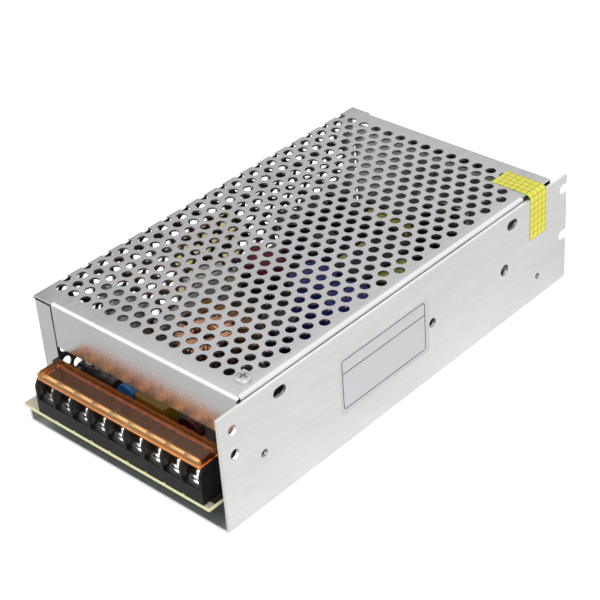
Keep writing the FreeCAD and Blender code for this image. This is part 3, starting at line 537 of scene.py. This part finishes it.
def makeMaterials():
    finishes = {
        "laminate": boardLaminate("laminate"),
        "amber": amberPlastic("amber"),
        "creamPaper": thinPaper("creamPaper", (0.93, 0.87, 0.62)),
        # maroon tape above, painted shade in near black below
        "maroonTapeOverShade": tapeOverPaintedShade("maroonTapeOverShade", (0.34, 0.03, 0.045), (0.012, 0.012, 0.014), driverShadeHeight),
        "yellowTape": woundTape("yellowTape", (0.70, 0.66, 0.12)),
        "copper": enamelWire("copper"),
        "sealTape": griddedTape("sealTape", sealTape),
    }
    for looks, make in ((sheets, sheetMetal), (metals, plainMetal), (mouldings, mouldedPlastic)):
        for name, look in looks.items():
            finishes[name] = make(name, **look)
    paintedLipHighlight(finishes["chassisMetal"])
    print("materials:", len(finishes))
    return finishes


# Mesh tools. Points are in millimetres and become metres when a piece is finished.

nearUpright = 0.9                  # upward part of a direction too steep to be crossed with the vertical
cutTolerance = 1e-6


def boxMm(node):
    low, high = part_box(node)
    return [value / mm for value in low], [value / mm for value in high]


def middle(node):
    low, high = boxMm(node)
    return (low[0] + high[0]) / 2, (low[1] + high[1]) / 2


def ring(radius, sides, x=0.0, y=0.0):
    step = 2 * math.pi / sides
    return [(x + radius * math.cos(step * side), y + radius * math.sin(step * side)) for side in range(sides)]


def finishPiece(name, shape, material, smooth=sharpAngle, replaced=()):
    mesh = bpy.data.meshes.new(name)
    mesh.from_pydata([Vector(point) * mm for point in shape.points], [], shape.faces)
    mesh.update()
    mesh.materials.append(material)
    if smooth:
        mesh.shade_smooth()
        mesh.set_sharp_from_angle(angle=math.radians(smooth))
    piece = bpy.data.objects.new(name, mesh)
    bpy.context.scene.collection.objects.link(piece)
    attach(piece, caseBody)
    if replaced:
        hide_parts(*replaced)
    return piece


class Shape:
    def __init__(self):
        self.points = []
        self.faces = []

    def add(self, points, faces):
        start = len(self.points)
        self.points.extend(points)
        self.faces.extend(tuple(start + corner for corner in face) for face in faces)

    def lathe(self, profile, sides, x=0.0, y=0.0):
        # profile runs (radius, height) from the middle of the foot to the middle of the top
        points = []
        faces = []
        rows = []
        for radius, height in profile:
            if radius == 0:
                points.append((x, y, height))
                rows.append([len(points) - 1])
            else:
                rows.append(list(range(len(points), len(points) + sides)))
                points.extend((a, b, height) for a, b in ring(radius, sides, x, y))
        for low, high in zip(rows, rows[1:]):
            for side in range(sides):
                after = (side + 1) % sides
                if len(low) == 1:
                    faces.append((low[0], high[after], high[side]))
                elif len(high) == 1:
                    faces.append((low[side], low[after], high[0]))
                else:
                    faces.append((low[side], low[after], high[after], high[side]))
        self.add(points, faces)

    def tube(self, path, radius, sides):
        # round wire along a closed loop of points
        count = len(path)
        points = []
        faces = []
        path = [Vector(point) for point in path]
        normal = None
        for index, here in enumerate(path):
            ahead = (path[(index + 1) % count] - path[index - 1]).normalized()
            if normal is None:
                helper = Vector((0, 0, 1)) if abs(ahead.z) < nearUpright else Vector((1, 0, 0))
                normal = ahead.cross(helper).normalized()
            normal = (normal - ahead * normal.dot(ahead)).normalized()
            side = ahead.cross(normal)
            points.extend(tuple(here + normal * u + side * v) for u, v in ring(radius, sides))
        for index in range(count):
            after = (index + 1) % count
            for corner in range(sides):
                following = (corner + 1) % sides
                faces.append((index * sides + corner, index * sides + following,
                              after * sides + following, after * sides + corner))
        self.add(points, faces)

    def block(self, low, high):
        x0, y0, z0 = low
        x1, y1, z1 = high
        self.add([(x0, y0, z0), (x1, y0, z0), (x1, y1, z0), (x0, y1, z0),
                  (x0, y0, z1), (x1, y0, z1), (x1, y1, z1), (x0, y1, z1)],
                 [(0, 3, 2, 1), (4, 5, 6, 7), (0, 1, 5, 4), (1, 2, 6, 5), (2, 3, 7, 6), (3, 0, 4, 7)])


def insideOutline(outline, a, b):
    inside = False
    previous = outline[-1]
    for corner in outline:
        if (corner[1] > b) != (previous[1] > b):
            cross = corner[0] + (b - corner[1]) * (previous[0] - corner[0]) / (previous[1] - corner[1])
            if a < cross:
                inside = not inside
        previous = corner
    return inside


def cutPlate(outline, loops, lines, isCut):
    # triangles of a flat outline with loops cut out; lines are kept as edges for later folding
    points = []
    edges = []
    for loop in [outline] + loops:
        start = len(points)
        points.extend(Vector(point) for point in loop)
        edges.extend((start + index, start + (index + 1) % len(loop)) for index in range(len(loop)))
    for first, second in lines:
        start = len(points)
        points.extend((Vector(first), Vector(second)))
        edges.append((start, start + 1))
    result = delaunay_2d_cdt(points, edges, [], 0, cutTolerance)
    flat, triangles = result[0], result[2]
    kept = []
    for triangle in triangles:
        a = sum(flat[corner][0] for corner in triangle) / len(triangle)
        b = sum(flat[corner][1] for corner in triangle) / len(triangle)
        if insideOutline(outline, a, b) and not isCut(a, b):
            kept.append(tuple(triangle))
    return [tuple(point) for point in flat], kept


def nothingCut(a, b):
    return False


def thickSheet(outer, inner, triangles):
    # closed sheet between two matching surfaces
    used = sorted({corner for triangle in triangles for corner in triangle})
    number = {corner: index for index, corner in enumerate(used)}
    count = len(used)
    points = [outer[corner] for corner in used] + [inner[corner] for corner in used]
    faces = []
    rim = {}
    for triangle in triangles:
        corners = tuple(number[corner] for corner in triangle)
        faces.append(corners)
        faces.append(tuple(count + corner for corner in reversed(corners)))
        for index in range(3):
            edge = (corners[index], corners[(index + 1) % 3])
            if (edge[1], edge[0]) in rim:
                del rim[(edge[1], edge[0])]
            else:
                rim[edge] = True
    for first, second in rim:
        faces.append((second, first, count + first, count + second))
    return points, faces


# Cover: one sheet, laid out flat with its holes and then folded

coverSheet = {
    "thickness": 0.8,
    "bend": 1.5,
    "bendSteps": 8,
    "slit": 0.2,
    "flangeFoot": 31.8,
    "hemHeight": 5.5,
    "flangeLeft": -43.4,
    "edgeRight": 50.9,
    "stripFoot": 10.2,
    "stripRight": -44.2,
    "rightFoldEnd": 72.5,
    "rightFoldDrop": 3.3,
    "rearFoldLeft": -42.5,
    "rearFoldDrop": 8.0,
    "holeRadius": 2.125,
    "holeSides": 20,
    "columnPitch": 5.197,
    "rowPitch": 6.655,
    "firstColumn": -79.095,
    "columns": 32,
    "firstRow": 45.11,
    "lastHeight": 8.0,
    "screw": (45.1, -79.1),
    "screwHole": 1.7,
    "cell": 8.0,                  # squares in which holes are looked up
}


def coverLayout(sheet):
    low, high = boxMm("cover")
    layout = dict(sheet)
    layout["left"], layout["front"], layout["foot"] = low
    layout["right"], layout["rear"], layout["top"] = high
    bend = sheet["bend"]
    layout["neutral"] = bend - sheet["thickness"] / 2
    layout["arc"] = layout["neutral"] * math.pi / 2
    layout["bendLeft"] = layout["left"] + bend
    layout["bendRight"] = layout["right"] - bend
    layout["bendFront"] = layout["front"] + bend
    layout["bendRear"] = layout["rear"] - bend
    layout["bendUnder"] = layout["top"] - bend
    layout["wallEnd"] = layout["bendLeft"] - layout["arc"]
    layout["wallFoot"] = layout["wallEnd"] - (layout["bendUnder"] - layout["foot"])
    layout["stripLow"] = layout["wallEnd"] - (layout["bendUnder"] - sheet["stripFoot"])
    layout["stripEnd"] = layout["bendFront"] - layout["arc"] - (sheet["stripRight"] - layout["bendLeft"])
    layout["flangeEnd"] = layout["bendFront"] - layout["arc"] - (layout["bendUnder"] - sheet["flangeFoot"])
    layout["rightEnd"] = layout["bendRight"] + layout["arc"] + sheet["rightFoldDrop"] - bend
    layout["rearEnd"] = layout["bendRear"] + layout["arc"] + sheet["rearFoldDrop"] - bend
    return layout


def foldTurn(at, reach):
    # how far the sheet has turned at a distance from the start of a bend, and its length behind the bend
    return min(reach / at["neutral"], math.pi / 2), max(reach - at["arc"], 0.0)


def foldCover(at, across, along):
    # outer point and outward normal of a flat point of the cover
    bend = at["bend"]
    touch = at["slit"] / 2
    foldsRight = at["bendFront"] + touch < along < at["rightFoldEnd"] + touch
    if across < at["bendLeft"]:
        start = at["bendLeft"]
        way = -1.0
    elif across > at["bendRight"] and foldsRight:
        start = at["bendRight"]
        way = 1.0
    else:
        start = across
        way = 0.0
    turn, behind = foldTurn(at, abs(across - start))
    place = Vector((start + way * bend * math.sin(turn), along,
                    at["bendUnder"] + bend * math.cos(turn) - behind))
    normal = Vector((way * math.sin(turn), 0.0, math.cos(turn)))
    inStrip = across < at["wallEnd"] - touch
    if along < at["bendFront"] and (inStrip or across > at["flangeLeft"] - touch):
        start = at["bendFront"]
        way = -1.0
    elif along > at["bendRear"] and across > at["rearFoldLeft"] - touch:
        start = at["bendRear"]
        way = 1.0
    else:
        return place, normal
    turn, behind = foldTurn(at, abs(along - start))
    place.y = start + way * bend * math.sin(turn)
    place -= normal * (bend * (1.0 - math.cos(turn)) + behind)
    return place, normal * math.cos(turn) + Vector((0.0, way, 0.0)) * math.sin(turn)


def coverOutline(at):
    slit = at["slit"]
    stripTop = at["wallEnd"] - slit
    flangeSide = at["flangeLeft"] - slit
    rearSide = at["rearFoldLeft"] - slit
    return [
        (at["wallFoot"], at["bendFront"]), (at["stripLow"], at["bendFront"]),
        (at["stripLow"], at["stripEnd"]), (stripTop, at["stripEnd"]),
        (stripTop, at["bendFront"]), (at["wallEnd"], at["bendFront"]),
        (at["wallEnd"], at["front"]), (flangeSide, at["front"]), (flangeSide, at["bendFront"]),
        (at["flangeLeft"], at["bendFront"]), (at["flangeLeft"], at["flangeEnd"]),
        (at["edgeRight"], at["flangeEnd"]), (at["edgeRight"], at["bendFront"]),
        (at["bendRight"], at["bendFront"]), (at["bendRight"], at["bendFront"] + slit),
        (at["rightEnd"], at["bendFront"] + slit), (at["rightEnd"], at["rightFoldEnd"]),
        (at["bendRight"], at["rightFoldEnd"]), (at["bendRight"], at["rightFoldEnd"] + slit),
        (at["edgeRight"], at["rightFoldEnd"] + slit), (at["edgeRight"], at["rearEnd"]),
        (at["rearFoldLeft"], at["rearEnd"]), (at["rearFoldLeft"], at["bendRear"]), (rearSide, at["bendRear"]),
        (rearSide, at["rear"]), (at["wallFoot"], at["rear"]),
    ]


def bendLines(at):
    # edges over each fold, where the sheet turns
    stripTop = at["wallEnd"] - at["slit"]
    foldFront = at["bendFront"] + at["slit"]
    lines = []
    for step in range(at["bendSteps"] + 1):
        turn = at["arc"] * step / at["bendSteps"]
        start = at["bendFront"] if step == at["bendSteps"] else at["front"]
        left = at["bendLeft"] - turn
        right = at["bendRight"] + turn
        front = at["bendFront"] - turn
        rear = at["bendRear"] + turn
        lines.append(((left, start), (left, at["rear"])))
        lines.append(((right, foldFront), (right, at["rightFoldEnd"])))
        lines.append(((at["flangeLeft"], front), (at["edgeRight"], front)))
        lines.append(((at["stripLow"], front), (stripTop, front)))
        lines.append(((at["rearFoldLeft"], rear), (at["edgeRight"], rear)))
    return lines


def holePlaces(at):
    # staggered holes over the flat sheet, from the right edge of the top to the foot of the left wall
    last = at["wallEnd"] - (at["bendUnder"] - at["lastHeight"])
    halfPitch = at["rowPitch"] / 2
    halfRows = 1 + int((at["firstRow"] - last) / halfPitch)
    places = []
    for column in range(at["columns"]):
        along = at["firstColumn"] + at["columnPitch"] * column
        for halfRow in range(column % 2, halfRows, 2):
            across = at["firstRow"] - halfPitch * halfRow
            if math.dist((across, along), at["screw"]) > at["holeRadius"] * 2:
                places.append((across, along))
    return places


def addHem(shape, at):
    # the foot of the front flange is folded back against its inner face
    near = at["front"] + at["thickness"]
    shape.block((at["flangeLeft"], near, at["flangeFoot"]),
                (at["edgeRight"], near + at["thickness"], at["flangeFoot"] + at["hemHeight"]))


def makeCover(finishes):
    at = coverLayout(coverSheet)
    places = holePlaces(at)
    radius = at["holeRadius"]
    sides = at["holeSides"]
    cell = at["cell"]
    wedge = 2 * math.pi / sides
    grid = {}
    for across, along in places:
        grid.setdefault((round(across / cell), round(along / cell)), []).append((across, along))

    def isCut(a, b):
        if math.dist((a, b), at["screw"]) < at["screwHole"] * math.cos(wedge / 2):
            return True
        for i in (-1, 0, 1):
            for j in (-1, 0, 1):
                for x, y in grid.get((round(a / cell) + i, round(b / cell) + j), ()):
                    far = math.dist((a, b), (x, y))
                    if far < radius:
                        bearing = math.atan2(b - y, a - x) % wedge
                        if far * math.cos(bearing - wedge / 2) < radius * math.cos(wedge / 2):
                            return True
        return False

    loops = [ring(radius, sides, *place) for place in places]
    loops.append(ring(at["screwHole"], sides, *at["screw"]))
    flat, triangles = cutPlate(coverOutline(at), loops, bendLines(at), isCut)
    outer = []
    inner = []
    for across, along in flat:
        place, normal = foldCover(at, across, along)
        outer.append(tuple(place))
        inner.append(tuple(place - normal * at["thickness"]))
    folded = Shape()
    folded.add(*thickSheet(outer, inner, triangles))
    addHem(folded, at)
    sheet = finishPiece("cover_sheet", folded, finishes["coverMetal"],
                        replaced=("cover",))
    # thickSheet gives the outer and the inner triangle in turn; the inner ones take a darkened copy of the
    # sheet, painted shade
    sheet.data.materials.append(finishes["coverInside"])
    for index in range(len(triangles)):
        sheet.data.polygons[2 * index + 1].material_index = 1
    print("cover:", len(places), "holes,", len(folded.faces), "faces")


# Screws with a cross recess. Shares of the head's radius or height.

panForm = {
    "sides": 32,
    "steps": 6,
    "rim": 0.35,                  # upright part of the head
    "crown": 0.62,                # flat part of the head
    "arm": 0.52,
    "halfArm": 0.15,
    "depth": 0.62,
    "taper": 0.8,
}


def crossLoop(x, y, arm, half):
    turns = [(arm, -half), (arm, half), (half, half), (half, arm), (-half, arm), (-half, half),
             (-arm, half), (-arm, -half), (-half, -half), (-half, -arm), (half, -arm), (half, -half)]
    return [(x + a, y + b) for a, b in turns]


def addPanScrew(shape, x, y, seat, top, radius, shank, foot):
    # rounded head with a flat crown that holds the recess, and a plain shank
    form = panForm
    sides = form["sides"]
    height = top - seat
    upright = seat + height * form["rim"]
    crown = radius * form["crown"]
    curve = [(shank, foot), (shank, seat), (radius, seat), (radius, upright)]
    for step in range(1, form["steps"]):
        turn = math.pi / 2 * step / form["steps"]
        curve.append((crown + (radius - crown) * math.cos(turn), upright + (top - upright) * math.sin(turn)))
    shape.lathe([(0, foot)] + curve, sides, x, y)
    recess = crossLoop(x, y, radius * form["arm"], radius * form["halfArm"])
    rim = ring(crown, sides, x, y)
    edge = ring(curve[-1][0], sides, x, y)
    shape.add([(a, b, curve[-1][1]) for a, b in edge] + [(a, b, top) for a, b in rim],
              [(side, (side + 1) % sides, sides + (side + 1) % sides, sides + side) for side in range(sides)])
    flat, triangles = cutPlate(rim, [recess], [], lambda a, b: insideOutline(recess, a, b))
    shape.add([(a, b, top) for a, b in flat], triangles)
    bottom = top - height * form["depth"]
    floor = [(x + (a - x) * form["taper"], y + (b - y) * form["taper"]) for a, b in recess]
    corners = len(recess)
    shape.add([(a, b, top) for a, b in recess] + [(a, b, bottom) for a, b in floor],
              [(corners + (side + 1) % corners, (side + 1) % corners, side, corners + side)
               for side in range(corners)])
    flat, triangles = cutPlate(floor, [], [], nothingCut)
    shape.add([(a, b, bottom) for a, b in flat], triangles)


def alignNormals(piece, seam=0.0):
    # points closer than the seam, in millimetres, become one
    work = bmesh.new()
    work.from_mesh(piece.data)
    if seam:
        bmesh.ops.remove_doubles(work, verts=work.verts, dist=seam * mm)
    bmesh.ops.recalc_face_normals(work, faces=work.faces)
    work.to_mesh(piece.data)
    work.free()


def weld(piece):
    alignNormals(piece, seam=0.004)
    piece.data.set_sharp_from_angle(angle=math.radians(sharpAngle))


terminalBlock = {
    "ways": 9,
    "pitch": 9.5,
    "screwY": -95.5,
    "headRadius": 3.15,
    "shankRadius": 1.65,
}

coverScrew = {"headRadius": 3.05, "shankRadius": 1.4}


def makeScrews(finishes):
    low, high = boxMm("cover_screw")
    head = Shape()
    seat = boxMm("cover")[1][2]
    addPanScrew(head, *middle("cover_screw"), seat, high[2], coverScrew["headRadius"],
                coverScrew["shankRadius"], low[2])
    weld(finishPiece("cover_screw_pan", head, finishes["screwMetal"],
                     replaced=("cover_screw",)))
    low, high = boxMm("terminal_screws")
    seat = boxMm("terminal_clamps")[1][2]
    heads = Shape()
    for way in range(terminalBlock["ways"]):
        x = terminalBlock["pitch"] * (way - (terminalBlock["ways"] - 1) / 2)
        addPanScrew(heads, x, terminalBlock["screwY"], seat, high[2], terminalBlock["headRadius"],
                    terminalBlock["shankRadius"], low[2])
    weld(finishPiece("terminal_screw_heads", heads, finishes["tinPlate"],
                     replaced=("terminal_screws",)))
    print("screws: cover and terminals")


# Cans, choke and other round parts

cans = {
    "start_capacitor": ("navySleeve", "navy_sleeve", "darkTop"),
    "bulk_capacitor_right": ("blueSleeve", "blue_sleeve", "blueSleeve"),
    "bulk_capacitor_left": ("blueSleeve", "blue_sleeve", "blueSleeve"),
    **{f"output_capacitor_{number}": ("blackSleeve", "black_plastic", "darkTop") for number in range(1, 5)},
}


canForm = {
    "sides": 40,
    "footShare": 0.9,
    "grooveAt": 2.8,
    "grooveHalf": 0.7,
    "grooveDepth": 0.5,
    "shoulder": 0.9,
    "shoulderSteps": 4,
    "rim": 1.3,
    "lip": 0.25,
    "crownShare": 0.97,
    "crownLow": 0.9,              # faces of the crown, as shares of the lip below the top
    "crownHigh": 0.3,
}


def makeCan(name, sleeve, crown, finishes):
    low, high = boxMm(name)
    x, y = middle(name)
    radius = (high[1] - low[1]) / 2
    top = high[2]
    form = canForm
    shoulder = form["shoulder"]
    groove = low[2] + form["grooveAt"]
    profile = [(0, low[2]), (radius * form["footShare"], low[2]), (radius, low[2] + shoulder),
               (radius, groove - form["grooveHalf"]), (radius - form["grooveDepth"], groove),
               (radius, groove + form["grooveHalf"])]
    for step in range(form["shoulderSteps"] + 1):
        turn = math.pi / 2 * step / form["shoulderSteps"]
        profile.append((radius - shoulder * (1 - math.cos(turn)), top - shoulder * (1 - math.sin(turn))))
    inner = radius - form["rim"]
    profile += [(inner, top), (inner, top - form["lip"]), (0, top - form["lip"])]
    body = Shape()
    body.lathe(profile, form["sides"], x, y)
    finishPiece(name + "_sleeve", body, finishes[sleeve], replaced=(name,))
    plateRadius = inner * form["crownShare"]
    plateLow = top - form["lip"] * form["crownLow"]
    plateHigh = top - form["lip"] * form["crownHigh"]
    plate = Shape()
    plate.lathe([(0, plateLow), (plateRadius, plateLow), (plateRadius, plateHigh), (0, plateHigh)],
                form["sides"], x, y)
    finishPiece(name + "_crown", plate, finishes[crown])


chokeForm = {
    "turns": 38,
    "wire": 1.35,
    "sides": 10,
    "depth": 8.4,                 # of the winding, along the radius
    "gapShare": 0.05,             # of each half turn, free at either end
    "corner": 1.7,
    "steps": 5,
    "slant": 0.9,
    "smooth": 80.0,
}


def chokeTurn(form, angle, inner, outer, low, high, centre):
    # one rounded loop of wire round the core, leaning so that each turn leads to the next
    radius = form["wire"] / 2
    corner = form["corner"]
    path = []
    corners = ((outer - radius, high - radius, 0.0), (inner + radius, high - radius, 90.0),
               (inner + radius, low + radius, 180.0), (outer - radius, low + radius, 270.0))
    for r, z, start in corners:
        inwardR = -corner if start in (0.0, 270.0) else corner
        inwardZ = -corner if start in (0.0, 90.0) else corner
        for step in range(form["steps"]):
            turn = math.radians(start + 90.0 * step / (form["steps"] - 1))
            path.append((r + inwardR + corner * math.cos(turn), z + inwardZ + corner * math.sin(turn)))
    pitch = 2 * math.pi * (1 - 2 * form["gapShare"]) / form["turns"]
    points = []
    count = len(path)
    for index, (r, z) in enumerate(path):
        share = index / count
        lean = pitch * form["slant"] * (0.5 - abs(share - 0.5) * 2.0)
        points.append((centre[0] + r * math.cos(angle + lean), centre[1] + r * math.sin(angle + lean), z))
    return points


def makeChoke(finishes):
    low, high = boxMm("choke_winding")
    centre = middle("choke_winding")
    outer = (high[0] - low[0]) / 2
    form = chokeForm
    inner = outer - form["depth"]
    turns = Shape()
    perSide = form["turns"] // 2
    for half in range(2):
        for number in range(perSide):
            share = (number + 0.5) / perSide
            angle = math.pi * (half + form["gapShare"] + share * (1 - 2 * form["gapShare"]))
            turns.tube(chokeTurn(form, angle, inner, outer, low[2], high[2], centre), form["wire"] / 2,
                       form["sides"])
    finishPiece("choke_turns", turns, finishes["copper"],
                smooth=form["smooth"], replaced=("choke_winding",))
    print("choke:", form["turns"], "turns of copper")


# Stickers

ratingLabel = {
    "corner": 1.6,
    "film": 0.10,
    "frame": (-38.6, 8.6, 16.4, 38.0),     # front, rear, low and high edge of the printed frame
    "divider": 31.9,
    "stroke": 0.36,
    "ink": 0.03,
    "cornerSteps": 6,
}

sealTape = {
    "lineWidth": 0.28,
    "columnPitch": 2.55,
    "rowPitch": 2.75,
    "film": 0.12,
    "wallTop": 49.6,
    "foldSteps": 6,
    "foldReach": 0.6,             # how far the fold starts before either edge
    "filmReach": 0.5,
    "ink": (0.34, 0.30, 0.05),
}


def roundedLoop(y0, y1, z0, z1, corner, steps):
    loop = []
    for y, z, start in ((y1 - corner, z1 - corner, 0), (y0 + corner, z1 - corner, 90),
                        (y0 + corner, z0 + corner, 180), (y1 - corner, z0 + corner, 270)):
        for step in range(steps + 1):
            turn = math.radians(start + 90 * step / steps)
            loop.append((y + corner * math.cos(turn), z + corner * math.sin(turn)))
    return loop


def sidePlate(shape, loop, holes, x0, x1, isCut=nothingCut):
    flat, triangles = cutPlate(loop, holes, [], isCut)
    shape.add(*thickSheet([(x1, a, b) for a, b in flat], [(x0, a, b) for a, b in flat], triangles))


def makeLabel(finishes):
    low, high = boxMm("label")
    form = ratingLabel
    steps = form["cornerSteps"]
    corner = form["corner"]
    stroke = form["stroke"]
    base = low[0] + form["film"]
    paper = Shape()
    sidePlate(paper, roundedLoop(low[1], high[1], low[2], high[2], corner, steps), [], low[0], base)
    finishPiece("label_sheet", paper, finishes["labelPaper"],
                replaced=("label",))
    front, rear, bottom, top = form["frame"]
    outside = roundedLoop(front, rear, bottom, top, corner, steps)
    inside = roundedLoop(front + stroke, rear - stroke, bottom + stroke, top - stroke, corner - stroke, steps)
    ink = Shape()
    sidePlate(ink, outside, [inside], base, base + form["ink"], lambda a, b: insideOutline(inside, a, b))
    ink.block((base, front + stroke, form["divider"]),
              (base + form["ink"], rear - stroke, form["divider"] + stroke))
    finishPiece("label_frame", ink, finishes["labelInk"], smooth=0)
    print("label: blank sheet with its frame")


def makeSealTape(finishes):
    # runs up the wall, over the gap and onto the cover; U runs along the strip, V across it, in millimetres
    low, high = boxMm("seal_tape")
    wall = boxMm("chassis")[1][0]
    edge = coverSheet["edgeRight"]
    top = boxMm("cover")[1][2]
    film = sealTape["film"]
    wallTop = sealTape["wallTop"]
    foldFoot = wallTop - sealTape["foldReach"]
    foldSide = edge - sealTape["foldReach"]
    route = [(wall, low[2]), (wall, foldFoot)]
    for step in range(1, sealTape["foldSteps"]):
        turn = math.pi / 2 * step / sealTape["foldSteps"]
        route.append((foldSide + (wall - foldSide) * math.cos(turn),
                      foldFoot + (top - foldFoot) * math.sin(turn)))
    route += [(foldSide, top), (low[0], top)]
    points = []
    for x, z in route:
        outX = x + film if x > edge - sealTape["filmReach"] else x
        outZ = z + film if z > wallTop - sealTape["filmReach"] else z
        points.append((x, z, min(outX, high[0]), min(outZ, high[2])))
    verts = []
    for x, z, outX, outZ in points:
        for y in (low[1], high[1]):
            verts.append((outX, y, outZ))
            verts.append((x, y, z))
    faces = []
    last = len(points) - 1
    for index in range(last):
        a = index * 4
        b = a + 4
        faces.append((a, b, b + 2, a + 2)[::-1])
        faces.append((a + 1, b + 1, b + 3, a + 3))
        faces.append((a, a + 1, b + 1, b)[::-1])
        faces.append((a + 2, a + 3, b + 3, b + 2))
    faces.append((0, 1, 3, 2))
    end = last * 4
    faces.append((end, end + 1, end + 3, end + 2)[::-1])
    strip = Shape()
    strip.add(verts, faces)
    piece = finishPiece("seal_tape_strip", strip, finishes["sealTape"],
                        replaced=("seal_tape",))
    lengths = [0.0]
    for first, second in zip(points, points[1:]):
        lengths.append(lengths[-1] + math.dist(first[:2], second[:2]))
    sheet = piece.data.uv_layers.new(name="UVMap")
    for loop in piece.data.loops:
        vertex = loop.vertex_index
        across = 0.0 if vertex % 4 < 2 else high[1] - low[1]
        sheet.data[loop.index].uv = (across, lengths[vertex // 4])
    alignNormals(piece)
    print("seal tape: folded over the edge")


# CAD pieces that keep their shape and get a finish and soft edges

softEdge = {"segments": 2, "angle": 40.0}

# nodes of each finish, with the width of their soft edges in millimetres
carriedNodes = {
    "chassisMetal": {"chassis": 0.12},
    "laminate": {"circuit_board": 0.0},
    "screwMetal": {"board_standoffs": 0.15, "board_screws": 0.15},
    "blackMoulding": {"terminal_block": 0.18},
    "tinPlate": {"terminal_contacts": 0.12, "terminal_clamps": 0.2, "fuse_clips": 0.0},
    "amber": {"terminal_cover": 0.15},
    "fuseGlass": {"fuse": 0.1},
    "blueCoating": {"suppressor_capacitor": 0.4},
    "yellowPlastic": {"mains_capacitor": 0.4},
    "redCoating": {"varistor": 0.4},
    "heatsinkMetal": {"bridge_heatsink": 0.15, "switch_heatsink": 0.15, "rectifier_heatsink": 0.15},
    "blackPlastic": {"bridge_rectifier": 0.3, "transformer_bobbin": 0.2, "aux_bobbin": 0.2,
                     "switch_transistors": 0.2, "rectifiers": 0.2},
    "ferrite": {"choke_core": 0.5, "transformer_core": 0.4},
    "tanCoating": {"film_capacitor": 0.5},
    "whiteCeramic": {"cement_resistor": 0.3},
    "maroonTapeOverShade": {"driver_transformer": 0.4},
    "yellowTape": {"transformer_winding": 0.4, "aux_winding": 0.4},
    "creamPaper": {"side_sticker": 0.0},
}


def dressNode(name, finish, edge):
    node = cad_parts[name]
    if not node.data.materials:
        node.data.materials.append(finish)
    for holder in node.material_slots:
        holder.material = finish
    if edge:
        soft = node.modifiers.new("softEdges", "BEVEL")
        soft.width = edge * mm
        soft.segments = softEdge["segments"]
        soft.limit_method = "ANGLE"
        soft.angle_limit = math.radians(softEdge["angle"])
        soft.harden_normals = False


def dressNodes(finishes):
    for finish, edges in carriedNodes.items():
        for name, edge in edges.items():
            dressNode(name, finishes[finish], edge)
    print("carried nodes dressed:", sum(len(edges) for edges in carriedNodes.values()))


def main():
    makeStudio()
    finishes = makeMaterials()
    makeCover(finishes)
    makeScrews(finishes)
    for name, (sleeve, slot, crown) in cans.items():
        makeCan(name, sleeve, crown, finishes)
    print("cans:", len(cans))
    makeChoke(finishes)
    makeLabel(finishes)
    makeSealTape(finishes)
    dressNodes(finishes)


main()
